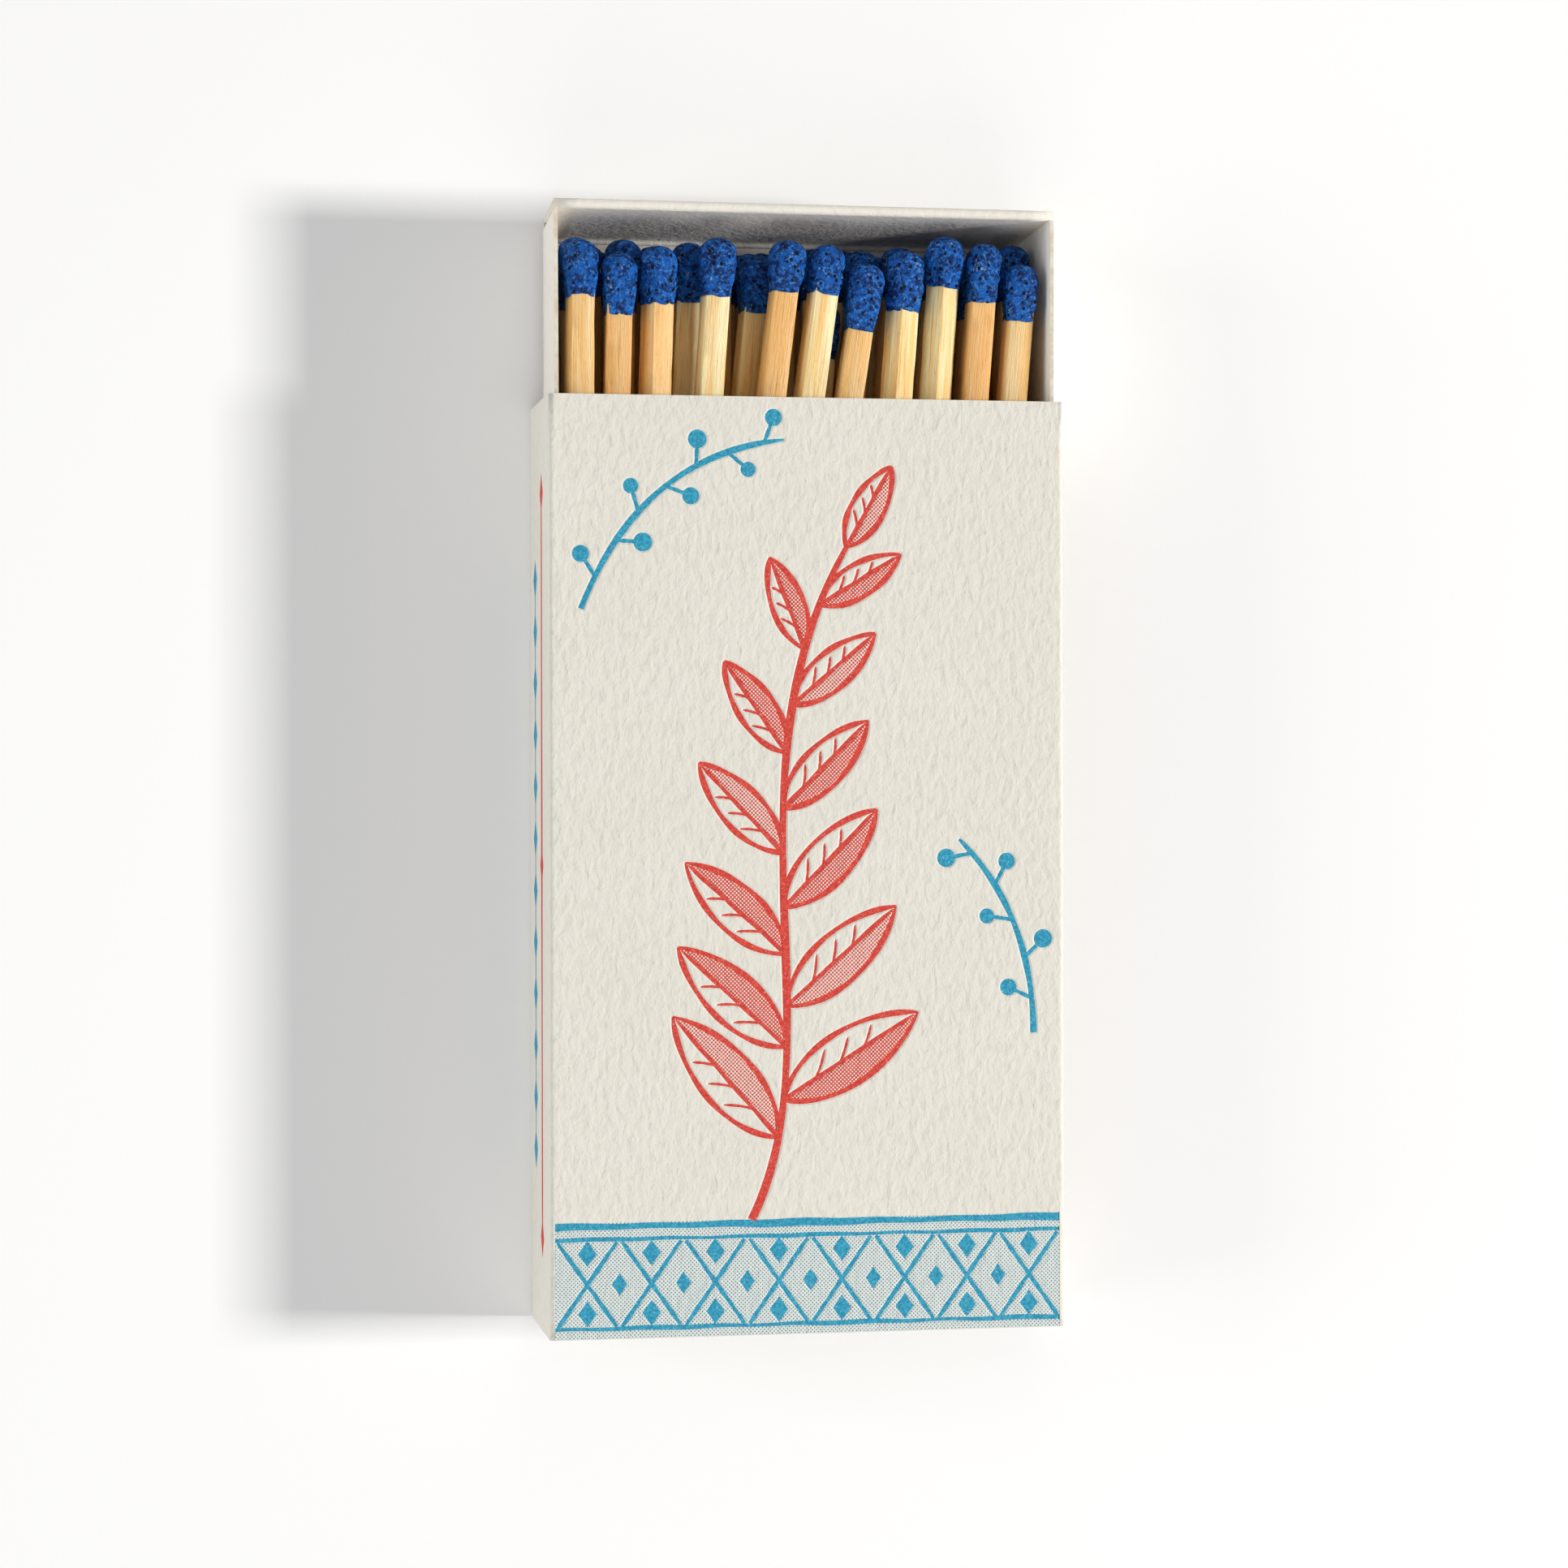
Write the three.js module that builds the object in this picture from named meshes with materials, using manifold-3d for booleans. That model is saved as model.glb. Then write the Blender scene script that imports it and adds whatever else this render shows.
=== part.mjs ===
// A slide-open matchbox: a folded card sleeve, a folded card drawer and its safety matches.
// Millimetres. +Z is up through the printed front panel, +Y is the way the drawer opens, and the
// origin is the middle of the sleeve's underside, which is the face that the box lies on.
import * as THREE from "three";
import { mergeVertices } from "three/addons/utils/BufferGeometryUtils.js";
import Module from "manifold-3d";

const wasm = await Module();
wasm.setup();

// Sleeve
const sleeveWidth = 61.5;
const sleeveHeight = 20;
const sleeveBoard = 0.5;
const sleeveFold = 0.9;
const glueFlapWidth = 12;
const seamSetBack = 0.7;
const sleeveOverhang = 0.3;

// Drawer
const drawerBoard = 0.45;
const drawerFold = 0.8;
const slideClearance = 0.3;
const wallLean = 0.6;
const endWallThickness = 1.2;
const endWallRise = 0.3;
const floorTongue = 1.6;
const drawerOpen = 23.2;

// Matches
const stickWidth = 3;
const stickEdge = 0.12;
const matchLength = 96;
const matchSlack = 11;
const headWidth = 4.5;
const headLength = 7.1;
const headCoat = 0.3;
const tipCover = 1.8;
const socketClearance = 0.05;
const restGap = 0.1;
const lowerTipGap = 2;
const fusedDepth = 0.06;
const lowerHeadRise = 3;

// Printed ink and the striking strip
const inkThickness = 0.1;
const strikerLength = 100;
const strikerHeight = 13;
const strikerThickness = 0.12;
const bandHeight = 13.5;
const bandLine = 0.7;
const latticeLine = 0.45;
const latticeCells = 8;
const stemWidth = 0.9;
const stemGap = 0.3;
const leafLine = 0.55;
const berryWidth = 2;
const sprigLine = 0.7;
const ruleLength = 88;
const ruleWidth = 0.8;
const chainLinks = 12;
const chainPitch = 6.2;
const chainLine = 0.4;

// What follows from the sizes above
const drawerLength = matchLength + matchSlack + 2 * endWallThickness;
const sleeveLength = drawerLength + 2 * sleeveOverhang;
const halfWidth = sleeveWidth / 2;
const halfLength = sleeveLength / 2;
const innerHalfWidth = halfWidth - sleeveBoard;
const drawerBottom = 2 * sleeveBoard + slideClearance;
const drawerTop = sleeveHeight - sleeveBoard - slideClearance;
const sideWallTop = drawerTop - endWallRise;
const drawerHalfTop = innerHalfWidth - slideClearance;
const drawerHalfBottom = drawerHalfTop - wallLean;
const floorTop = drawerBottom + drawerBoard;
const matchRoom = drawerHalfBottom - drawerBoard - restGap;
const drawerInnerEnd = drawerLength / 2 - endWallThickness;
const flatHalfWidth = halfWidth - sleeveFold;

// Turns a section drawn in x and z into one that runs along the box, and the same for the side panel
const ALONG_BOX = new THREE.Matrix4().makeRotationX(Math.PI / 2);
const ON_SIDE = new THREE.Matrix4().makeBasis(
  new THREE.Vector3(0, 1, 0),
  new THREE.Vector3(0, 0, 1),
  new THREE.Vector3(1, 0, 0),
);

const COLOURS = {
  sleeve: { color: 0xe6e2d8, roughness: 0.95 },
  drawer: { color: 0xdedad0, roughness: 0.92 },
  wood: { color: 0xe0b878, roughness: 0.6 },
  lowerWood: { color: 0xc8975a, roughness: 0.65 },
  head: { color: 0x1f4fa8, roughness: 0.85 },
  striker: { color: 0x4a2620, roughness: 1 },
  coral: { color: 0xe2473c, roughness: 0.8 },
  coralTint: { color: 0xe9a596, roughness: 0.85 },
  blue: { color: 0x35a3c4, roughness: 0.8 },
  blueTint: { color: 0xb9d9dc, roughness: 0.85 },
};

function material(name) {
  return new THREE.MeshStandardMaterial({ ...COLOURS[name], metalness: 0 });
}

function namedMesh(name, geometry, materialName) {
  const mesh = new THREE.Mesh(geometry, material(materialName));
  mesh.name = name;
  return mesh;
}

// A closed geometry as a solid that can be joined and cut
function solid(geometry) {
  const bare = geometry.clone();
  bare.deleteAttribute("normal");
  bare.deleteAttribute("uv");
  const merged = mergeVertices(bare, 1e-4);
  return new wasm.Manifold(
    new wasm.Mesh({
      numProp: 3,
      vertProperties: new Float32Array(merged.attributes.position.array),
      triVerts: new Uint32Array(merged.index.array),
    }),
  );
}

function geometryOf(made) {
  const mesh = made.getMesh();
  const places = new Float32Array(mesh.numVert * 3);
  for (let i = 0; i < mesh.numVert; i++) {
    places.set(mesh.vertProperties.subarray(i * mesh.numProp, i * mesh.numProp + 3), i * 3);
  }
  const geometry = new THREE.BufferGeometry();
  geometry.setAttribute("position", new THREE.BufferAttribute(places, 3));
  geometry.setIndex(new THREE.BufferAttribute(mesh.triVerts, 1));
  geometry.computeVertexNormals();
  return geometry;
}

function joined(geometries) {
  return geometryOf(geometries.map(solid).reduce((sum, next) => sum.add(next)));
}

function extruded(shape, depth, curveSegments = 6) {
  return new THREE.ExtrudeGeometry(shape, { depth, curveSegments, bevelEnabled: false });
}

// A section in x and z, run along y with its middle at y = 0
function alongBox(shape, length, curveSegments) {
  return extruded(shape, length, curveSegments)
    .applyMatrix4(ALONG_BOX)
    .translate(0, length / 2, 0);
}

// The sleeve is one strip of card folded round the drawer. Its glue flap lies inside, on the bottom
// panel, and the bottom panel's free edge shows as a seam along the lower right fold.
function sleeve() {
  const w = halfWidth;
  const r = sleeveFold;
  const b = sleeveBoard;
  const inner = Math.max(r - b, 0.05);
  const seam = w - seamSetBack;
  const seamAngle = -Math.acos((seam - (w - r)) / r);
  const outline = new THREE.Shape();
  outline.moveTo(-w + r, 0);
  outline.lineTo(seam, 0);
  outline.lineTo(seam, b + r + r * Math.sin(seamAngle));
  outline.absarc(w - r, b + r, r, seamAngle, 0, false);
  outline.absarc(w - r, sleeveHeight - r, r, 0, Math.PI / 2, false);
  outline.absarc(-w + r, sleeveHeight - r, r, Math.PI / 2, Math.PI, false);
  outline.absarc(-w + r, r, r, Math.PI, 1.5 * Math.PI, false);

  const hollow = new THREE.Path();
  const flapEdge = w - b - glueFlapWidth;
  hollow.moveTo(flapEdge, b);
  hollow.lineTo(flapEdge, 2 * b);
  hollow.absarc(w - b - inner, 2 * b + inner, inner, -Math.PI / 2, 0, false);
  hollow.absarc(w - b - inner, sleeveHeight - b - inner, inner, 0, Math.PI / 2, false);
  hollow.absarc(-w + b + inner, sleeveHeight - b - inner, inner, Math.PI / 2, Math.PI, false);
  hollow.absarc(-w + b + inner, b + inner, inner, Math.PI, 1.5 * Math.PI, false);
  outline.holes.push(hollow);
  return namedMesh("sleeve", alongBox(outline, sleeveLength, 4), "sleeve");
}

// The drawer's floor and side walls: one U section, the walls leaning out a little
function drawerChannel() {
  const z0 = drawerBottom;
  const r = drawerFold;
  const b = drawerBoard;
  const lean = wallLean / (sideWallTop - z0);
  const bottom = drawerHalfBottom;
  const top = drawerHalfTop;
  const innerFold = Math.max(r - b, 0.05);
  const outline = new THREE.Shape();
  outline.moveTo(-bottom + r, z0);
  outline.lineTo(bottom - r, z0);
  outline.quadraticCurveTo(bottom, z0, bottom + r * lean, z0 + r);
  outline.lineTo(top, sideWallTop);
  outline.lineTo(top - b, sideWallTop);
  outline.lineTo(bottom - b + (b + innerFold) * lean, z0 + b + innerFold);
  outline.quadraticCurveTo(bottom - b, z0 + b, bottom - b - innerFold, z0 + b);
  outline.lineTo(-bottom + b + innerFold, z0 + b);
  outline.quadraticCurveTo(
    -bottom + b,
    z0 + b,
    -bottom + b - (b + innerFold) * lean,
    z0 + b + innerFold,
  );
  outline.lineTo(-top + b, sideWallTop);
  outline.lineTo(-top, sideWallTop);
  outline.lineTo(-bottom - r * lean, z0 + r);
  outline.quadraticCurveTo(-bottom, z0, -bottom + r, z0);
  return alongBox(outline, drawerLength - 2 * b, 4);
}

// An end wall: the panel rises from the floor, rolls over at the top, comes down inside over the
// glued corner tabs and ends in a tongue that lies on the floor
function drawerEndWall() {
  const end = drawerLength / 2;
  const r = drawerFold;
  const roll = endWallThickness / 2;
  const inside = end - endWallThickness;
  const tongueTop = floorTop + drawerBoard;
  const section = new THREE.Shape();
  section.moveTo(inside - floorTongue, drawerBottom);
  section.lineTo(end - r, drawerBottom);
  section.absarc(end - r, drawerBottom + r, r, -Math.PI / 2, 0, false);
  section.absarc(end - roll, drawerTop - roll, roll, 0, Math.PI, false);
  section.lineTo(inside, tongueTop + drawerBoard);
  section.quadraticCurveTo(inside, tongueTop, inside - drawerBoard, tongueTop);
  section.lineTo(inside - floorTongue, tongueTop);
  const width = 2 * drawerHalfTop;
  const wall = extruded(section, width, 5).applyMatrix4(ON_SIDE).translate(-width / 2, 0, 0);
  return solid(wall).intersect(solid(alongBox(drawerOutline(), 2 * drawerLength)));
}

// The drawer's outer section, filled, which trims the end walls to the lean of the side walls
function drawerOutline() {
  const lean = wallLean / (sideWallTop - drawerBottom);
  const top = drawerHalfTop + endWallRise * lean;
  const outline = new THREE.Shape();
  outline.moveTo(-drawerHalfBottom, drawerBottom);
  outline.lineTo(drawerHalfBottom, drawerBottom);
  outline.lineTo(top, drawerTop);
  outline.lineTo(-top, drawerTop);
  return outline;
}

function drawer() {
  const far = drawerEndWall();
  const near = far.rotate([0, 0, 180]);
  const made = solid(drawerChannel()).add(far).add(near);
  return namedMesh("drawer", geometryOf(made), "drawer");
}

// A square splint with its long edges just broken, its tail end at y = 0
function stickGeometry() {
  const h = stickWidth / 2;
  const e = stickEdge;
  const section = new THREE.Shape([
    new THREE.Vector2(-h + e, -h),
    new THREE.Vector2(h - e, -h),
    new THREE.Vector2(h, -h + e),
    new THREE.Vector2(h, h - e),
    new THREE.Vector2(h - e, h),
    new THREE.Vector2(-h + e, h),
    new THREE.Vector2(-h, h - e),
    new THREE.Vector2(-h, -h + e),
  ]);
  const length = matchLength - tipCover;
  return alongBox(section, length).translate(0, length / 2, 0);
}

// A point on a rounded square: power 2 is a circle, and a higher power is squarer
function roundedSquare(half, power, angle) {
  const c = Math.cos(angle);
  const s = Math.sin(angle);
  const reach = half / (Math.abs(c) ** power + Math.abs(s) ** power) ** (1 / power);
  return [reach * c, reach * s];
}

// The dipped head: a squarish skirt round the stick that swells into a bulb with a round tip,
// with a blind square socket in which the stick ends. Its rim is at y = 0.
function headGeometry(width, length, sides, bodyRings, domeRings) {
  const bulb = width / 2;
  const skirt = stickWidth / 2 + headCoat;
  const domeStart = length - bulb;
  const rings = [];
  for (let i = 0; i <= bodyRings; i++) {
    const t = i / bodyRings;
    const swell = t * t * (3 - 2 * t);
    rings.push([t * domeStart, skirt + (bulb - skirt) * swell, 5 - 2.7 * swell]);
  }
  for (let i = 1; i < domeRings; i++) {
    const angle = (i / domeRings) * (Math.PI / 2);
    rings.push([domeStart + bulb * Math.sin(angle), bulb * Math.cos(angle), 2.3]);
  }
  const places = [];
  for (const [y, half, power] of rings) {
    for (let k = 0; k < sides; k++) {
      const [x, z] = roundedSquare(half, power, ((k + 0.5) / sides) * 2 * Math.PI);
      places.push(x, y, z);
    }
  }
  const tip = rings.length * sides;
  places.push(0, length, 0);
  const rimCentre = tip + 1;
  places.push(0, 0, 0);
  const faces = [];
  for (let i = 0; i + 1 < rings.length; i++) {
    for (let k = 0; k < sides; k++) {
      const a = i * sides + k;
      const b = i * sides + ((k + 1) % sides);
      faces.push(a, a + sides, b, b, a + sides, b + sides);
    }
  }
  const last = (rings.length - 1) * sides;
  for (let k = 0; k < sides; k++) {
    const next = (k + 1) % sides;
    faces.push(last + k, tip, last + next);
    faces.push(k, next, rimCentre);
  }
  const geometry = new THREE.BufferGeometry();
  geometry.setAttribute("position", new THREE.Float32BufferAttribute(places, 3));
  geometry.setIndex(faces);
  return geometry;
}

function socketedHead(width, length) {
  const socketDepth = length - tipCover + socketClearance;
  const side = stickWidth + 2 * socketClearance;
  const socket = new THREE.BoxGeometry(side, 2 * socketDepth, side);
  return geometryOf(solid(headGeometry(width, length, 12, 3, 3)).subtract(solid(socket)));
}

// Half the width that a square of side stickWidth takes when it is rolled about its axis
function rolledHalf(half, rollDegrees) {
  const roll = THREE.MathUtils.degToRad(rollDegrees);
  return half * (Math.abs(Math.cos(roll)) + Math.abs(Math.sin(roll)));
}

// Places that things of these half widths take side by side: each as near as it can be to where it
// is wanted, clear of its neighbours and of both walls
function sideBySide(wanted, halves, room) {
  const x = [...wanted];
  for (let i = 0; i < x.length; i++) {
    const least = i ? x[i - 1] + halves[i - 1] + halves[i] + restGap : -room + halves[i];
    x[i] = Math.max(x[i], least);
  }
  for (let i = x.length - 1; i >= 0; i--) {
    const last = i === x.length - 1;
    const most = last ? room - halves[i] : x[i + 1] - halves[i + 1] - halves[i] - restGap;
    x[i] = Math.min(x[i], most);
  }
  return x;
}

// The loose matches, in two rows, left to right. head and tail are places across the drawer as a
// share of its half width, short is how far the tip stops from the end wall, roll is the turn about
// the stick in degrees, and wide and long scale the head, which is dipped by hand and varies.
const TOP_ROW = [
  { head: -0.93, tail: -0.95, short: 3.2, roll: 6, wide: 0.97, long: 0.97 },
  { head: -0.79, tail: -0.84, short: 4.6, roll: 2, wide: 0.98, long: 1.06 },
  { head: -0.625, tail: -0.72, short: 3.7, roll: 28, wide: 1, long: 1.0 },
  { head: -0.355, tail: -0.6, short: 2.6, roll: 8, wide: 1.02, long: 1.01 },
  { head: -0.055, tail: -0.49, short: 2.7, roll: 4, wide: 1.04, long: 0.9 },
  { head: 0.095, tail: -0.37, short: 3.1, roll: 12, wide: 0.97, long: 0.86 },
  { head: 0.24, tail: -0.25, short: 5.2, roll: 3, wide: 1.02, long: 1.16 },
  { head: 0.445, tail: 0.2, short: 3.6, roll: 33, wide: 1.02, long: 1.05 },
  { head: 0.63, tail: 0.37, short: 1.8, roll: 38, wide: 1.03, long: 0.89 },
  { head: 0.79, tail: 0.53, short: 2.5, roll: 5, wide: 0.97, long: 1.03 },
  { head: 0.93, tail: 0.67, short: 4.9, roll: 3, wide: 0.98, long: 0.99 },
];
const SECOND_ROW = [
  { head: -0.93, tail: -0.94, short: 2.2, roll: 10, wide: 0.98, long: 1.25 },
  { head: -0.725, tail: -0.8, short: 2.3, roll: 5, wide: 1, long: 1.25 },
  { head: -0.45, tail: -0.6, short: 2.5, roll: 2, wide: 0.98, long: 1.05 },
  { head: -0.165, tail: -0.45, short: 3.9, roll: 6, wide: 1, long: 1.0 },
  { head: 0.115, tail: -0.1, short: 9.3, roll: 3, wide: 0.97, long: 1.0 },
  { head: 0.275, tail: 0.04, short: 3, roll: 8, wide: 0.97, long: 1.0 },
  { head: 0.425, tail: 0.2, short: 2.5, roll: 14, wide: 0.98, long: 0.88 },
  { head: 0.585, tail: 0.36, short: 3, roll: 9, wide: 0.97, long: 0.85 },
  { head: 0.765, tail: 0.56, short: 4.2, roll: 4, wide: 0.98, long: 1.0 },
  { head: 0.93, tail: 0.84, short: 1.9, roll: 2, wide: 0.98, long: 1.0 },
];

// Heights of the rows' axes, at the heads and at the tails: each row lies on the one below
const widestHead = headWidth * 1.05;
const lowerRise = stickWidth - fusedDepth;
const lowerAxis = floorTop + restGap + stickWidth / 2;
const lowerHeadWidth = headWidth * 0.93;
const lowerHeadAxis = floorTop + restGap + lowerHeadWidth / 2;
const upperHeadAxis = lowerHeadAxis + lowerHeadRise;
const rolledStick = rolledHalf(stickWidth, 45);
const secondHeadAxis = upperHeadAxis + (lowerHeadWidth + widestHead) / 2 + restGap;
const secondTailAxis = lowerAxis + lowerRise + (stickWidth + rolledStick) / 2 + restGap;
const topHeadAxis = secondHeadAxis + widestHead + restGap;
const topTailAxis = secondTailAxis + rolledStick + restGap;

function looseMatch(name, match, headX, tailX, headZ, tailZ) {
  const length = headLength * match.long;
  const width = headWidth * match.wide;
  const tipY = drawerInnerEnd - match.short;
  const bulbFromTail = matchLength - width / 2;
  const across = (headX - tailX) / bulbFromTail;
  const up = (headZ - tailZ) / bulbFromTail;
  const along = new THREE.Vector3(across, Math.sqrt(1 - across ** 2 - up ** 2), up);
  const group = new THREE.Group();
  const stick = namedMesh(name + "_stick", stickGeometry(), "wood");
  const head = namedMesh(name + "_head", socketedHead(width, length), "head");
  head.position.y = matchLength - length;
  group.add(stick, head);
  group.quaternion.setFromUnitVectors(new THREE.Vector3(0, 1, 0), along);
  group.rotateY(THREE.MathUtils.degToRad(match.roll));
  group.position.set(tailX, tipY - matchLength * along.y, tailZ);
  return group;
}

function matchRow(rowName, row, headZ, tailZ) {
  const headHalves = row.map((m) => (headWidth * m.wide) / 2 + 0.06);
  const tailHalves = row.map((m) => rolledHalf(stickWidth / 2, m.roll));
  const wanted = (key) => row.map((m) => m[key] * matchRoom);
  const heads = sideBySide(wanted("head"), headHalves, matchRoom);
  const tails = sideBySide(wanted("tail"), tailHalves, matchRoom);
  return row.map((match, i) => {
    const name = rowName + "_match_" + String(i + 1).padStart(2, "0");
    return looseMatch(name, match, heads[i], tails[i], headZ, tailZ);
  });
}

// Places across the drawer of the two lowest rows, the upper one over the gaps of the lower one. The
// drawer takes as many as stand with their heads pressed together.
const tightestPitch = lowerHeadWidth * 0.94;
const lowerRowCount = Math.round((2 * matchRoom - headWidth) / tightestPitch + 0.5);
const lowerPitch = (2 * matchRoom - headWidth) / (lowerRowCount - 0.5);
function lowerPlace(row, i) {
  return -matchRoom + headWidth / 2 + (i + row / 2) * lowerPitch;
}

// The sticks of the two lowest rows, packed tight and held as one block
function lowerSticks() {
  const h = stickWidth / 2;
  const bottom = lowerAxis - h;
  const middle = lowerAxis + h - fusedDepth;
  const top = middle + stickWidth;
  const outline = new THREE.Shape();
  outline.moveTo(lowerPlace(0, 0) - h, bottom);
  for (let i = 0; i < lowerRowCount; i++) {
    outline.lineTo(lowerPlace(0, i) - h, bottom);
    outline.lineTo(lowerPlace(0, i) + h, bottom);
    outline.lineTo(lowerPlace(0, i) + h, middle);
    if (i + 1 < lowerRowCount) outline.lineTo(lowerPlace(0, i + 1) - h, middle);
  }
  outline.lineTo(lowerPlace(1, lowerRowCount - 1) + h, middle);
  for (let i = lowerRowCount - 1; i >= 0; i--) {
    outline.lineTo(lowerPlace(1, i) + h, top);
    outline.lineTo(lowerPlace(1, i) - h, top);
    outline.lineTo(lowerPlace(1, i) - h, middle + fusedDepth);
    if (i > 0) outline.lineTo(lowerPlace(1, i - 1) + h, middle + fusedDepth);
  }
  outline.lineTo(lowerPlace(0, 0) - h, middle + fusedDepth);
  const length = matchLength - headLength;
  const sticks = alongBox(outline, length);
  sticks.translate(0, drawerInnerEnd - lowerTipGap - matchLength + length / 2, 0);
  return namedMesh("lower_match_sticks", sticks, "lowerWood");
}

// The heads of the two lowest rows, touching and stuck together, with their rims on the stick ends
function lowerHeads() {
  const rim = drawerInnerEnd - lowerTipGap - headLength + restGap;
  const heads = [];
  for (const row of [0, 1]) {
    const z = row ? upperHeadAxis : lowerHeadAxis;
    for (let i = 0; i < lowerRowCount; i++) {
      const head = headGeometry(lowerHeadWidth, headLength - restGap, 8, 1, 1);
      heads.push(head.translate(lowerPlace(row, i), rim, z));
    }
  }
  return namedMesh("lower_match_heads", joined(heads), "head");
}

// The striking strip printed along the right-hand side panel
function striker() {
  const strip = new THREE.BoxGeometry(strikerThickness, strikerLength, strikerHeight);
  const middle = (sleeveBoard + sleeveHeight) / 2;
  strip.translate(halfWidth + strikerThickness / 2, 0, middle);
  return namedMesh("striker_strip", strip, "striker");
}

// A flat line of even width through a curve's points, tapered at its ends by the share given
function ribbon(curve, width, points, taper = 0) {
  const left = [];
  const right = [];
  for (let i = 0; i <= points; i++) {
    const t = i / points;
    const p = curve.getPoint(t);
    const along = curve.getTangent(t);
    const half = (width / 2) * (1 - taper * t);
    left.push(new THREE.Vector2(p.x - along.y * half, p.y + along.x * half));
    right.unshift(new THREE.Vector2(p.x + along.y * half, p.y - along.x * half));
  }
  return new THREE.Shape([...left, ...right].reverse());
}

function straightBar(x0, y0, x1, y1, width) {
  const line = new THREE.LineCurve(new THREE.Vector2(x0, y0), new THREE.Vector2(x1, y1));
  return ribbon(line, width, 1);
}

// One side of a pointed leaf, as a curve from its base to its tip
function leafEdge(length, width, side) {
  return new THREE.CubicBezierCurve(
    new THREE.Vector2(0, 0),
    new THREE.Vector2(length * 0.22, side * width * 0.62),
    new THREE.Vector2(length * 0.68, side * width * 0.62),
    new THREE.Vector2(length, 0),
  );
}

const LEAF_POINTS = 6;
function wholeLeaf(length, width) {
  const lower = leafEdge(length, width, -1).getPoints(LEAF_POINTS);
  const upper = leafEdge(length, width, 1).getPoints(LEAF_POINTS).reverse();
  return new THREE.Shape([...lower, ...upper.slice(1, -1)]);
}

// The leaf's outline and midrib, left when both halves of the blade are cut out
function leafLines(length, width) {
  const leaf = wholeLeaf(length, width);
  for (const side of [1, -1]) {
    const blade = leafEdge(length, width, side).getPoints(LEAF_POINTS);
    const wide = blade.filter((p) => Math.abs(p.y) > 2 * leafLine);
    const inset = wide.map((p) => new THREE.Vector2(p.x, p.y - side * leafLine));
    const root = new THREE.Vector2(wide[0].x - leafLine / 2, (side * leafLine) / 2);
    const end = new THREE.Vector2(wide[wide.length - 1].x + leafLine / 2, (side * leafLine) / 2);
    leaf.holes.push(new THREE.Path([root, ...inset, end]));
  }
  return leaf;
}

function leafHalf(length, width) {
  const lower = leafEdge(length, width, -1).getPoints(LEAF_POINTS);
  const rib = new THREE.Vector2(length, leafLine / 2);
  return new THREE.Shape([...lower, rib, new THREE.Vector2(0, leafLine / 2)]);
}

// The front's artwork is drawn on a panel of this size, and is stretched with the real one
const artHalfWidth = 29.85;
const artHalfLength = 55;
function onFront(x, y) {
  return new THREE.Vector2((x * flatHalfWidth) / artHalfWidth, (y * halfLength) / artHalfLength);
}

// The printed branch: a stem that rises from the band, with leaves set along it by turns
const branchStem = new THREE.CubicBezierCurve(
  onFront(-7, -artHalfLength).add(new THREE.Vector2(0, bandHeight + stemGap)),
  onFront(4, -20),
  onFront(-12, 12),
  onFront(6, 40),
);
const LEAF_PAIRS = 6;
const leafScale = Math.min(flatHalfWidth / artHalfWidth, halfLength / artHalfLength);
function branchLeaves() {
  const leaves = [];
  for (let i = 0; i < LEAF_PAIRS; i++) {
    for (const side of [1, -1]) {
      const t = 0.14 + (i + (side > 0 ? 0 : 0.45)) * 0.138;
      const place = branchStem.getPoint(t);
      const heading = branchStem.getTangent(t);
      const length = (19 - 1.5 * i) * leafScale;
      const spread = THREE.MathUtils.degToRad(52 - 3 * i);
      const turn = Math.atan2(heading.y, heading.x) + side * spread;
      leaves.push({ place, length, width: length * 0.36, turn });
    }
  }
  const tip = branchStem.getPoint(0.97);
  const heading = branchStem.getTangent(0.97);
  const turn = Math.atan2(heading.y, heading.x);
  leaves.push({ place: tip, length: 11 * leafScale, width: 4.2 * leafScale, turn });
  return leaves;
}

function branchPrint(name, leafShape, level, materialName) {
  const parts = [extruded(ribbon(branchStem, stemWidth, 14, 0.4), inkThickness)];
  for (const leaf of branchLeaves()) {
    const plate = extruded(leafShape(leaf.length, leaf.width), inkThickness);
    parts.push(plate.rotateZ(leaf.turn).translate(leaf.place.x, leaf.place.y, 0));
  }
  const print = joined(parts).translate(0, 0, sleeveHeight + level * inkThickness);
  return namedMesh(name, print, materialName);
}

// The tinted field along the lower edge of the front, and the lattice of lines over it
const bandBottom = -halfLength;
const bandTop = -halfLength + bandHeight;
function bandTint() {
  const field = new THREE.BoxGeometry(2 * flatHalfWidth, bandHeight, inkThickness);
  field.translate(0, (bandBottom + bandTop) / 2, sleeveHeight + inkThickness / 2);
  return namedMesh("print_band_tint", field, "blueTint");
}

function bandLattice() {
  const edge = flatHalfWidth;
  const cell = (2 * edge) / latticeCells;
  const low = bandBottom + latticeLine;
  const high = bandTop - latticeLine;
  const bars = [
    straightBar(-edge, bandTop - bandLine / 2, edge, bandTop - bandLine / 2, bandLine),
    straightBar(-edge, bandBottom + bandLine / 2, edge, bandBottom + bandLine / 2, bandLine),
  ];
  for (let i = 0; i < latticeCells; i++) {
    const left = -edge + i * cell;
    bars.push(straightBar(left + latticeLine, low, left + cell - latticeLine, high, latticeLine));
    bars.push(straightBar(left + latticeLine, high, left + cell - latticeLine, low, latticeLine));
  }
  const lattice = joined(bars.map((bar) => extruded(bar, inkThickness)));
  lattice.translate(0, 0, sleeveHeight + inkThickness);
  return namedMesh("print_band_lattice", lattice, "blue");
}

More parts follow.
